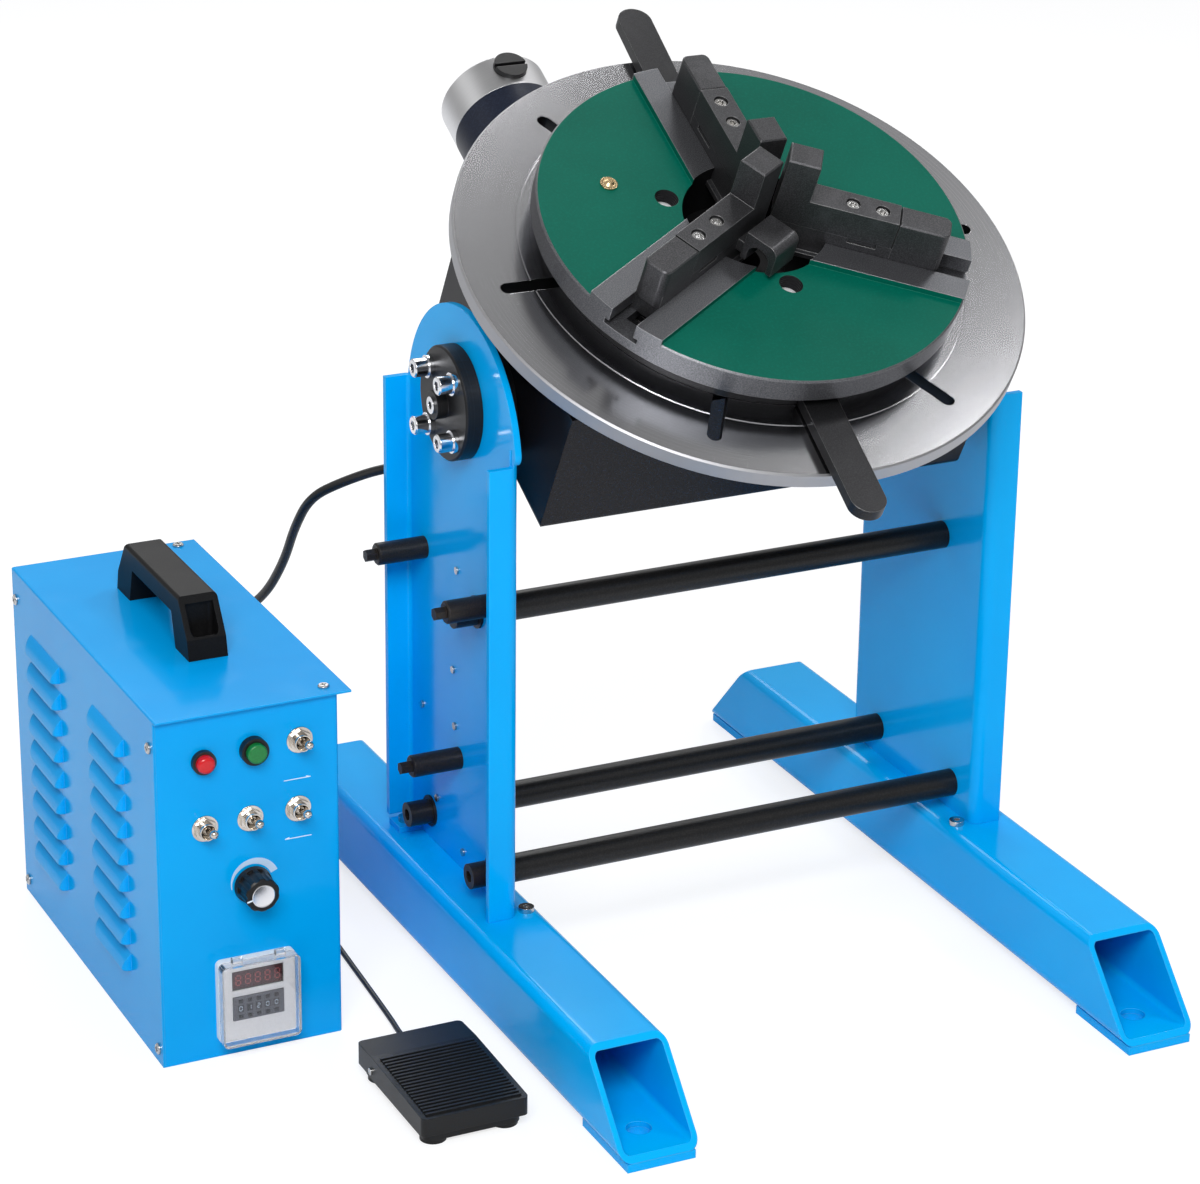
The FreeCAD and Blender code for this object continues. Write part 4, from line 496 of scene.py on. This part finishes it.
finishes = {
    "stand_blue": enamel("stand_blue", srgb(0, 172, 243), srgb(0, 165, 238), 0.14),
    "box_blue": enamel("box_blue", srgb(0, 160, 232), srgb(0, 154, 227), 0.14),
    "black_bar": black_coat("black_bar", srgb(16, 16, 17), srgb(46, 44, 43), 0.26, 900.0, 0.02 * MM),
    "black_screw": black_coat("black_screw", srgb(20, 19, 19), srgb(70, 58, 50), 0.3, 1400.0, 0.03 * MM),
    "zinc_screw": bare_metal("zinc_screw", srgb(205, 205, 205), srgb(175, 173, 170), 0.18, 1800.0,
                             0.01 * MM),
    "black_plastic": moulded("black_plastic", srgb(16, 16, 17), srgb(25, 25, 26), 0.3, 1500.0,
                             0.05 * MM, 0.3),
    "grey_plastic": moulded("grey_plastic", srgb(240, 238, 234), srgb(232, 230, 226), 0.4, 1500.0,
                            0.02 * MM),
    "red_lens": lamp_plastic(),
    "green_button": moulded("green_button", srgb(8, 118, 52), srgb(4, 106, 44), 0.28, 700.0, 0.01 * MM),
    "clear_plastic": clear_cover(),
    "bright_nickel": bare_metal("bright_nickel", srgb(220, 214, 206), srgb(194, 187, 178), 0.05, 900.0,
                                0.004 * MM),
    "cable_black": moulded("cable_black", srgb(15, 15, 15), srgb(22, 22, 22), 0.34, 700.0, 0.02 * MM),
    "chassis_black": black_coat("chassis_black", srgb(20, 19, 23), srgb(36, 35, 40), 0.16, 500.0,
                                0.012 * MM, 0.14),
    "blued_steel": blued_disc(),
    "cast_housing": black_coat("cast_housing", srgb(70, 72, 76), srgb(100, 100, 104), 0.45, 500.0,
                               0.2 * MM),
    "bearing_steel": bare_metal("bearing_steel", srgb(200, 200, 203), srgb(180, 180, 184), 0.12, 1500.0,
                                0.006 * MM),
    "motor_navy": black_coat("motor_navy", srgb(14, 21, 38), srgb(36, 46, 66), 0.3, 700.0, 0.04 * MM),
    "cast_aluminium": motor_cap(),
    "turned_steel": turned_steel(),
    "wheel_bronze": bare_metal("wheel_bronze", srgb(176, 128, 70), srgb(150, 105, 55), 0.25, 1200.0,
                               0.02 * MM),
    "chuck_green": chuck_paint(),
    "brass": bare_metal("brass", srgb(214, 190, 148), srgb(184, 150, 104), 0.2, 1400.0, 0.01 * MM),
    "dark_steel": jaw_steel("dark_steel", srgb(40, 40, 42), srgb(60, 60, 62), 0.32),
    "handle_plastic": moulded("handle_plastic", srgb(15, 15, 16), srgb(24, 24, 25), 0.34, 1500.0,
                              0.05 * MM, 0.1),
    "bright_zinc": bare_metal("bright_zinc", srgb(234, 235, 238), srgb(214, 215, 220), 0.07, 1200.0,
                              0.004 * MM),
    "jaw_steel": jaw_steel("jaw_steel", srgb(60, 60, 62), srgb(94, 94, 97), 0.34),
}
# Pieces whose finish differs from the rest of their slot
own_finish = {"box_handle": "handle_plastic", "clamp_bolts": "bright_zinc"}
for subpart in frame["record"]["subparts"]:
    node = subpart["node"]
    nodes[node].data.materials.clear()
    nodes[node].data.materials.append(finishes[own_finish.get(node, subpart["material_slot"])])


def piece(name, points, faces, body, slot, material=None, smooth=True, bevel=0.0):
    """File a mesh as a piece of the machine, riding on a body and finished from a slot."""
    mesh = bpy.data.meshes.new(name)
    work = bmesh.new()
    corners = [work.verts.new(point) for point in points]
    for face in faces:
        work.faces.new([corners[k] for k in face])
    bmesh.ops.remove_doubles(work, verts=work.verts, dist=1e-7)
    bmesh.ops.recalc_face_normals(work, faces=work.faces)
    work.to_mesh(mesh)
    work.free()
    made = bpy.data.objects.new(name, mesh)
    bpy.context.scene.collection.objects.link(made)
    made.data.materials.append(material or finishes[slot])
    if bevel:
        easing = made.modifiers.new("eased_edges", "BEVEL")
        easing.width = bevel
        easing.segments = 3
        easing.limit_method = "ANGLE"
        easing.angle_limit = math.radians(35.0)
    if smooth:
        for polygon in mesh.polygons:
            polygon.use_smooth = True
        mesh.set_sharp_from_angle(angle=math.radians(32.0))
    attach(made, body)


def lathed(profile, place, turns):
    """Points and faces of a profile of (radius, height) pairs turned about the local Z of a place."""
    points = []
    faces = []
    for k in range(turns):
        angle = 2.0 * math.pi * k / turns
        for radius, height in profile:
            points.append(place @ Vector((radius * math.cos(angle), radius * math.sin(angle), height)))
    count = len(profile)
    for k in range(turns):
        here = k * count
        there = ((k + 1) % turns) * count
        for j in range(count - 1):
            faces.append((here + j, there + j, there + j + 1, here + j + 1))
    return points, faces


def sheet_of(outline, place, thickness):
    """Points and faces of a flat outline in the local XY plane, given a thickness along local Z."""
    count = len(outline)
    points = [place @ Vector((x, y, 0.0)) for x, y in outline]
    points += [place @ Vector((x, y, thickness)) for x, y in outline]
    faces = [tuple(range(count)), tuple(range(count, 2 * count))]
    for k in range(count):
        after = (k + 1) % count
        faces.append((k, after, count + after, count + k))
    return points, faces


def joined(*parts):
    """Several point and face lists as one."""
    points = []
    faces = []
    for more_points, more_faces in parts:
        shift = len(points)
        points += more_points
        faces += [tuple(k + shift for k in face) for face in more_faces]
    return points, faces


def on_panel(x, z, y=panel_y):
    """A place on the front panel whose local X runs right, local Y up and local Z towards the viewer."""
    return Matrix.Translation((x, y, z)) @ Matrix.Rotation(math.radians(90.0), 4, "X")


# Camera, as the photograph was taken
view_azimuth = math.radians(-25.84)
view_elevation = math.radians(21.83)
view_roll = math.radians(0.74)
view_place = Vector((-1.17898, -2.25046, 1.26992))
view_lens = 115.85
camera_data = bpy.data.cameras.new("camera")
camera_data.lens = view_lens
camera_data.sensor_fit = "HORIZONTAL"
camera_data.sensor_width = 36.0
camera = bpy.data.objects.new("camera", camera_data)
bpy.context.scene.collection.objects.link(camera)
back = Vector((math.sin(view_azimuth) * math.cos(view_elevation),
               -math.cos(view_azimuth) * math.cos(view_elevation),
               math.sin(view_elevation)))
level_right = Vector((math.cos(view_azimuth), math.sin(view_azimuth), 0.0))
level_up = back.cross(level_right)
right = level_right * math.cos(view_roll) + level_up * math.sin(view_roll)
up = level_up * math.cos(view_roll) - level_right * math.sin(view_roll)
camera.matrix_world = Matrix.Translation(view_place) @ Matrix((right, up, back)).transposed().to_4x4()
camera_data.clip_start = 0.1
camera_data.clip_end = 40.0
bpy.context.scene.camera = camera

# Cords: the routes of the model, in metres
motor_cable_diameter = 7.0 * MM
motor_cable_route = [
    (-0.345, 0.257, 0.120), (-0.345, 0.288, 0.120), (-0.334, 0.316, 0.124), (-0.309, 0.331, 0.134),
    (-0.278, 0.322, 0.149), (-0.255, 0.293, 0.168), (-0.243, 0.256, 0.195), (-0.238, 0.225, 0.234),
    (-0.239, 0.200, 0.270), (-0.235, 0.178, 0.300), (-0.218, 0.158, 0.316), (-0.194, 0.142, 0.328),
    (-0.171, 0.118, 0.336), (-0.171, 0.086, 0.338)]
pedal_cable_diameter = 4.0 * MM
pedal_cable_route = [
    (-0.279, -0.103, 0.006), (-0.278, -0.084, 0.004), (-0.274, -0.060, 0.0023), (-0.266, 0.060, 0.0023),
    (-0.262, 0.112, 0.0023), (-0.263, 0.164, 0.0023), (-0.266, 0.209, 0.0023), (-0.279, 0.243, 0.0023),
    (-0.300, 0.2595, 0.0023), (-0.323, 0.2635, 0.0022)]
pedal_tail_route = [
    (-0.3775, 0.297, 0.011), (-0.388, 0.309, 0.014), (-0.402, 0.300, 0.023), (-0.406, 0.280, 0.032),
    (-0.405, 0.257, 0.034)]
coil_centre = Vector((-0.346, 0.290))
coil_mean = 24.0 * MM
coil_pitch = 4.2 * MM
coil_floor = 2.15 * MM
coil_start = math.radians(-85.0)
coil_turns = 6.22
coil_steps = 18


def eased_step(value):
    """A soft step from 0 to 1."""
    value = min(max(value, 0.0), 1.0)
    return value * value * (3.0 - 2.0 * value)


def coil_points():
    """Clockwise turns, three abreast: out to in, up, in to out, up, and away over the last layer."""
    abreast = [1, 0, -1, -1, 0, 1, 1]
    layers = [0, 0, 0, 1, 1, 1, 2]
    points = []
    for k in range(int(coil_turns * coil_steps) + 1):
        turn = k / coil_steps
        number = int(turn)
        share = turn - number
        before = abreast[max(number - 1, 0)]
        offset = before + (abreast[number] - before) * eased_step(share / 0.25)
        above = layers[min(number + 1, len(layers) - 1)]
        layer = layers[number] + (above - layers[number]) * eased_step((share - 0.75) / 0.25)
        radius = (coil_mean + offset * coil_pitch) / math.cos(math.pi / coil_steps)
        angle = coil_start - 2.0 * math.pi * turn
        points.append((coil_centre.x + radius * math.cos(angle), coil_centre.y + radius * math.sin(angle),
                       coil_floor + layer * coil_pitch))
    return points


def cord(name, route, diameter, body, slot):
    """A round cord along a smooth spline."""
    curve = bpy.data.curves.new(name, "CURVE")
    curve.dimensions = "3D"
    curve.bevel_depth = diameter / 2
    curve.bevel_resolution = 6
    curve.resolution_u = 8
    curve.use_fill_caps = True
    spline = curve.splines.new("NURBS")
    spline.points.add(len(route) - 1)
    for point, place in zip(spline.points, route):
        point.co = (place[0], place[1], place[2], 1.0)
    spline.order_u = 3
    spline.use_endpoint_u = True
    made = bpy.data.objects.new(name, curve)
    bpy.context.scene.collection.objects.link(made)
    curve.materials.append(finishes[slot])
    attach(made, body)
    return made


motor_lead = cord("motor_lead", motor_cable_route, motor_cable_diameter, "stand", "cable_black")
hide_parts("motor_cable")
pedal_lead = cord("pedal_lead", pedal_cable_route + coil_points() + pedal_tail_route, pedal_cable_diameter,
                  "stand", "cable_black")
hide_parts("pedal_cable", "pedal_cable_coil")


# Speed knob: spun cap, white pointer, printed crescent scale
knob_face_y = -77.8 * MM
cap_radius = 8.1 * MM
cap_height = 0.9 * MM


def spun_silver():
    """Cap turned in fine rings, so light fans out from its middle."""
    metal = Finish("spun_silver", {"Metallic": 1.0})
    x, y, z = metal.split(metal.place())
    dx = x - knob_centre.x
    dz = z - knob_centre.z
    lathe = metal.rings((dx * dx + dz * dz) ** 0.5, 6000.0, 2.0)
    metal.set({"Base Color": metal.tint(lathe, srgb(240, 240, 242), srgb(222, 222, 225)),
               "Roughness": lathe * 0.08 + 0.2,
               "Normal": metal.bump(lathe, 0.01 * MM, 0.7)})
    return metal.material


cap_place = on_panel(knob_centre.x, knob_centre.z, knob_face_y)
cap_profile = [(0.0, cap_height * 0.7), (cap_radius * 0.86, cap_height * 0.8),
               (cap_radius * 0.93, cap_height), (cap_radius * 0.99, cap_height * 0.8),
               (cap_radius, cap_height * 0.4), (cap_radius, 0.0)]
piece("knob_cap", *lathed(cap_profile, cap_place, 96), "knob", "cast_aluminium", spun_silver())
white_print = marked("white_print", srgb(226, 238, 248), srgb(210, 226, 240), 0.4)
pointer_angle = math.radians(194.0)
pointer_length = 3.7 * MM
pointer_width = 1.0 * MM
pointer_thickness = 0.25 * MM
print_thickness = 0.12 * MM
pointer_place = cap_place @ Matrix.Rotation(pointer_angle, 4, "Z")
pointer = [(cap_radius, -pointer_width / 2), (cap_radius + pointer_length, -pointer_width / 2),
           (cap_radius + pointer_length, pointer_width / 2), (cap_radius, pointer_width / 2)]
piece("knob_pointer", *sheet_of(pointer, pointer_place, pointer_thickness), "knob", "black_plastic",
      white_print, smooth=False)


def crescent():
    """Printed scale round the knob: a band that widens from its left end to its right end."""
    inner = 14.4 * MM
    narrow = 0.5 * MM
    widening = 4.6 * MM
    outline = []
    steps = 40
    start = math.radians(188.0)
    end = math.radians(22.0)
    for k in range(steps + 1):
        angle = start + (end - start) * k / steps
        width = narrow + widening * math.sin(math.pi * 0.5 * k / steps) ** 1.2
        outline.append(((inner + width) * math.cos(angle), (inner + width) * math.sin(angle)))
    for k in range(steps, -1, -1):
        angle = start + (end - start) * k / steps
        outline.append((inner * math.cos(angle), inner * math.sin(angle)))
    return outline


scale_print = marked("scale_print", srgb(188, 214, 240), srgb(176, 204, 234), 0.35)
piece("speed_scale", *sheet_of(crescent(), on_panel(knob_centre.x, knob_centre.z), print_thickness),
      "stand", "box_blue", scale_print, smooth=False)


def arrow(x, z, way):
    """A thin printed line with one barb at the end that it points to."""
    half = 9.5 * MM
    thick = 0.55 * MM
    barb = 3.2 * MM
    tip = way * half
    outline = [(-tip, -thick / 2), (tip, -thick / 2), (tip, thick / 2), (tip - way * barb, thick * 2.2),
               (tip - way * barb * 0.9, thick / 2), (-tip, thick / 2)]
    return sheet_of(outline, on_panel(x, z), print_thickness)


line_gap = 21.5 * MM
piece("direction_lines", *joined(arrow(right_toggle.x, right_toggle.z + line_gap, 1.0),
                                 arrow(right_toggle.x, right_toggle.z - line_gap, -1.0)),
      "stand", "box_blue", white_print, smooth=False)


# Timer: a dark display with unlit figures, over five number wheels with a push tab above and below each
segment_bars = {"top": (0.5, 1.0, True), "middle": (0.5, 0.5, True), "bottom": (0.5, 0.0, True),
                "upper_left": (0.0, 0.75, False), "upper_right": (1.0, 0.75, False),
                "lower_left": (0.0, 0.25, False), "lower_right": (1.0, 0.25, False)}
figure_thickness = 0.06 * MM
lit_bars = {"0": ("top", "bottom", "upper_left", "upper_right", "lower_left", "lower_right"),
            "1": ("upper_right", "lower_right"),
            "2": ("top", "middle", "bottom", "upper_right", "lower_left"),
            "8": tuple(segment_bars)}


def block(x0, x1, z0, z1, y, stand_out):
    """A flat block on the timer's face, from a depth y towards the viewer."""
    return sheet_of([(x0, z0), (x1, z0), (x1, z1), (x0, z1)], on_panel(0.0, 0.0, y), stand_out)


def figure(number, x, z, width, height, stroke, y):
    """One plain figure made of straight bars; x and z are the lower left corner of its centre lines."""
    bars = []
    for name in lit_bars[number]:
        across, rise, level = segment_bars[name]
        half_width = (width - stroke * 1.3) / 2 if level else stroke / 2
        half_height = stroke / 2 if level else (height / 2 - stroke * 1.3) / 2
        middle_x = x + across * width
        middle_z = z + rise * height
        bars.append(block(middle_x - half_width, middle_x + half_width, middle_z - half_height,
                          middle_z + half_height, y, figure_thickness))
    return joined(*bars)


pocket_y = timer_face_y + 1.5 * MM
pocket_margin = 9.5 * MM
display_gap = 0.1 * MM
display_left = timer_left + pocket_margin
display_right = timer_left + timer_width - pocket_margin
display_top = timer_top - 8.0 * MM
display_bottom = display_top - 14.5 * MM
display_rim = 0.9 * MM
surround_thickness = 0.6 * MM
glass_thickness = 0.15 * MM
display_black = marked("display_black", srgb(26, 16, 17), srgb(20, 12, 13), 0.25)
piece("display_surround", *block(display_left + display_gap, display_right - display_gap,
                                 display_bottom + display_gap, display_top - display_gap, pocket_y,
                                 surround_thickness),
      "stand", "grey_plastic", display_black, smooth=False)
display_red = marked("display_red", srgb(66, 24, 27), srgb(58, 20, 22), 0.18)
piece("display_glass", *block(display_left + display_rim, display_right - display_rim,
                              display_bottom + display_rim, display_top - display_rim,
                              pocket_y - surround_thickness, glass_thickness),
      "stand", "grey_plastic", display_red, smooth=False)
figure_red = marked("figure_red", srgb(172, 70, 72), srgb(156, 60, 60), 0.3)
figure_start = 3.0 * MM
figure_rise = 3.6 * MM
figure_pitch = 7.0 * MM
figure_width = 3.4 * MM
figure_height = 7.2 * MM
figure_stroke = 0.8 * MM
glass_y = pocket_y - surround_thickness - glass_thickness
figures = [figure("8", display_left + figure_start + k * figure_pitch, display_bottom + figure_rise,
                  figure_width, figure_height, figure_stroke, glass_y) for k in range(5)]
piece("display_figures", *joined(*figures), "stand", "grey_plastic", figure_red, smooth=False)

wheels_top = timer_top - 27.0 * MM
wheels_bottom = wheels_top - 18.0 * MM
wheels_stand_out = 2.4 * MM
wheels_face = pocket_y - wheels_stand_out
wheels_gap = 0.2 * MM
wheel_start = 3.4 * MM
wheel_pitch = 6.4 * MM
wheel_width = 4.2 * MM
window_rise = 6.4 * MM
window_height = 5.2 * MM
window_thickness = 0.08 * MM
tab_inset = 0.6 * MM
tab_height = 2.2 * MM
tab_stand_out = 0.9 * MM
number_inset = 1.1 * MM
number_rise = 7.4 * MM
number_width = 2.0 * MM
number_height = 3.2 * MM
number_stroke = 0.5 * MM
wheel_grey = marked("wheel_grey", srgb(96, 96, 102), srgb(86, 86, 92), 0.45)
wheel_dark = marked("wheel_dark", srgb(24, 22, 24), srgb(18, 17, 19), 0.35)
piece("wheel_block", *block(display_left + wheels_gap, display_right - wheels_gap,
                            wheels_bottom + wheels_gap, wheels_top - wheels_gap, pocket_y, wheels_stand_out),
      "stand", "grey_plastic", wheel_grey, bevel=0.4 * MM)
windows = []
tabs = []
numbers = []
for k, number in enumerate("01200"):
    left = display_left + wheel_start + k * wheel_pitch
    window_low = wheels_bottom + window_rise
    windows.append(block(left, left + wheel_width, window_low, window_low + window_height, wheels_face,
                         window_thickness))
    for low in (wheels_bottom + tab_height, wheels_top - 2 * tab_height):
        tabs.append(block(left + tab_inset, left + wheel_width - tab_inset, low, low + tab_height,
                          wheels_face, tab_stand_out))
    numbers.append(figure(number, left + number_inset, wheels_bottom + number_rise, number_width,
                          number_height, number_stroke, wheels_face - window_thickness))
piece("wheel_windows", *joined(*windows), "stand", "grey_plastic", wheel_dark, smooth=False)
piece("wheel_tabs", *joined(*tabs), "stand", "grey_plastic", wheel_dark, smooth=False)
piece("wheel_numbers", *joined(*numbers), "stand", "grey_plastic", white_print, smooth=False)


# Cross recesses in the heads of the box screws, drawn as thin dark crosses: painted shade
def cross(place):
    """A thin cross sheet, finished dark as painted shade standing for the recess."""
    arm = 2.3 * MM
    half = 0.45 * MM
    thickness = 0.06 * MM
    outline = [(arm, -half), (arm, half), (half, half), (half, arm), (-half, arm), (-half, half),
               (-arm, half), (-arm, -half), (-half, -half), (-half, -arm), (half, -arm), (half, -half)]
    return sheet_of(outline, place, thickness)


screw_head = 2.0 * MM
screw_places_y = (-49.0 * MM, 235.0 * MM)
side_screws_z = (233.0 * MM, 11.0 * MM)
top_screws_x = -316.0 * MM
facing_left = Matrix(((0.0, 0.0, -1.0), (-1.0, 0.0, 0.0), (0.0, 1.0, 0.0))).to_4x4()
crosses = []
for y in screw_places_y:
    for z in side_screws_z:
        turn = Matrix.Rotation(math.radians(25.0 + 800.0 * (y + z)), 4, "Z")
        crosses.append(cross(Matrix.Translation((box_left - screw_head, y, z)) @ facing_left @ turn))
    turn = Matrix.Rotation(math.radians(20.0 + 300.0 * y), 4, "Z")
    crosses.append(cross(Matrix.Translation((top_screws_x, y, box_top + screw_head)) @ turn))
# The dark finish on the crosses is painted shade in the recesses; on the wheels it is their own dark plastic.
piece("screw_crosses", *joined(*crosses), "stand", "zinc_screw", wheel_dark, smooth=False)


# Screws in the counterbores of the jaws
def hex_socket_head(place, radius, height, socket, depth):
    """A cap-screw head whose top lies at local Z 0, with its six-sided socket open at the top."""
    turns = 32
    chamfer = 0.5 * MM
    sector = math.pi / 3.0
    points, faces = lathed([(radius, -height), (radius, -chamfer), (radius - chamfer, 0.0),
                            (socket * 1.12, 0.0)], place, turns)
    for level in (0.0, -depth):
        for k in range(turns):
            angle = 2.0 * math.pi * k / turns
            local = (angle % sector) - sector / 2
            reach = socket * math.cos(sector / 2) / math.cos(local)
            points.append(place @ Vector((reach * math.cos(angle), reach * math.sin(angle), level)))
    rim = 4 * turns
    floor = rim + turns
    for k in range(turns):
        after = (k + 1) % turns
        faces.append((k * 4 + 3, after * 4 + 3, rim + after, rim + k))
        faces.append((rim + k, rim + after, floor + after, floor + k))
    faces.append(tuple(floor + k for k in range(turns)))
    return points, faces


for index, degrees in enumerate(jaw_angles):
    heads = []
    for reach in jaw_screw_places:
        spot = head_place @ Matrix.Rotation(math.radians(degrees), 4, "Z") @ Matrix.Translation(
            (reach, 0.0, chuck_face + jaw_top - jaw_screw_sink))
        heads.append(hex_socket_head(spot, jaw_screw_radius, jaw_screw_height, jaw_socket_reach,
                                     jaw_socket_depth))
    piece("jaw_%d_screws" % (index + 1), *joined(*heads), "jaw_%d" % (index + 1), "zinc_screw")


# Floor, a plane so wide that its edge is never seen
def plain_floor():
    """Pale floor that stays near white to the eye and in reflections, and still takes a shadow."""
    floor = Finish("plain_floor", {"Roughness": 0.9, "Specular IOR Level": 0.0})
    tone = floor.noise(floor.place(), 2.0, 2.0)
    floor.set({"Base Color": floor.tint(tone, srgb(240, 241, 243), srgb(236, 237, 240))})
    seen = floor.node("ShaderNodeLightPath", output="Is Camera Ray")
    mirrored = seen.out("Is Glossy Ray") + seen.out("Is Transmission Ray")
    glow = floor.node("ShaderNodeEmission", inputs={"Color": (1.0, 1.0, 1.0, 1.0), "Strength": 1.2})
    share = seen * 0.62 + mirrored * 0.12
    paint = Ink(floor, floor.shader.outputs[0])
    mixed = floor.node("ShaderNodeMixShader", inputs={0: share, 1: paint, 2: glow})
    floor.tree.links.new(mixed.socket, floor.tree.nodes["Material Output"].inputs["Surface"])
    return floor.material


floor_reach = 12.0
floor_corners = [(-floor_reach, -floor_reach, 0.0), (floor_reach, -floor_reach, 0.0),
                 (floor_reach, floor_reach, 0.0), (-floor_reach, floor_reach, 0.0)]
floor_mesh = bpy.data.meshes.new("floor")
floor_mesh.from_pydata(floor_corners, [], [(0, 1, 2, 3)])
floor_mesh.materials.append(plain_floor())
floor_object = bpy.data.objects.new("floor", floor_mesh)
bpy.context.scene.collection.objects.link(floor_object)


# Studio: white surroundings, two broad lamps and two small ones overhead
def surroundings():
    """White to the eye, a soft dome of light for the object, and a brighter band for gloss to mirror."""
    world = bpy.data.worlds.new("studio")
    bpy.context.scene.world = world
    world.use_nodes = True
    sky = Shading(world.node_tree)
    x, y, z = sky.split(sky.node("ShaderNodeTexCoord", output="Generated"))
    path = sky.node("ShaderNodeLightPath", output="Is Camera Ray")
    seen = path + path.out("Is Transmission Ray")
    mirrored = path.out("Is Glossy Ray")
    dome = 0.24 + z.smooth(-0.2, 0.9) * 0.26
    for_gloss = 0.4 + z.smooth(0.1, 0.6) * 0.45 - z.smooth(0.55, 0.9) * 0.6
    unseen = mirrored * for_gloss + (1.0 - mirrored) * dome
    background = world.node_tree.nodes["Background"]
    sky.join(background.inputs["Strength"], seen + (1.0 - seen) * unseen)
    sky.join(background.inputs["Color"], (1.0, 1.0, 1.0, 1.0))


surroundings()


def lamp(name, place, target, size, power):
    """A rectangular soft light that faces its target."""
    data = bpy.data.lights.new(name, "AREA")
    data.shape = "RECTANGLE"
    data.size = size[0]
    data.size_y = size[1]
    data.energy = power
    made = bpy.data.objects.new(name, data)
    made.location = place
    made.rotation_mode = "QUATERNION"
    made.rotation_quaternion = (Vector(target) - Vector(place)).to_track_quat("-Z", "Y")
    bpy.context.scene.collection.objects.link(made)


head_middle = (0.0, 0.0, 0.5)
lamp("key_lamp", place=(-1.3, -2.2, 2.3), target=(0.0, 0.0, 0.3), size=(1.6, 1.2), power=78.0)
lamp("rear_lamp", place=(0.4, 2.4, 2.2), target=head_middle, size=(1.4, 1.0), power=22.0)
lamp("right_overhead_lamp", place=(1.75, -0.1, 2.95), target=head_middle, size=(0.5, 0.5), power=13.0)
lamp("rear_overhead_lamp", place=(0.95, 1.4, 2.95), target=head_middle, size=(0.5, 0.5), power=10.0)

bpy.context.scene.view_settings.view_transform = "Standard"
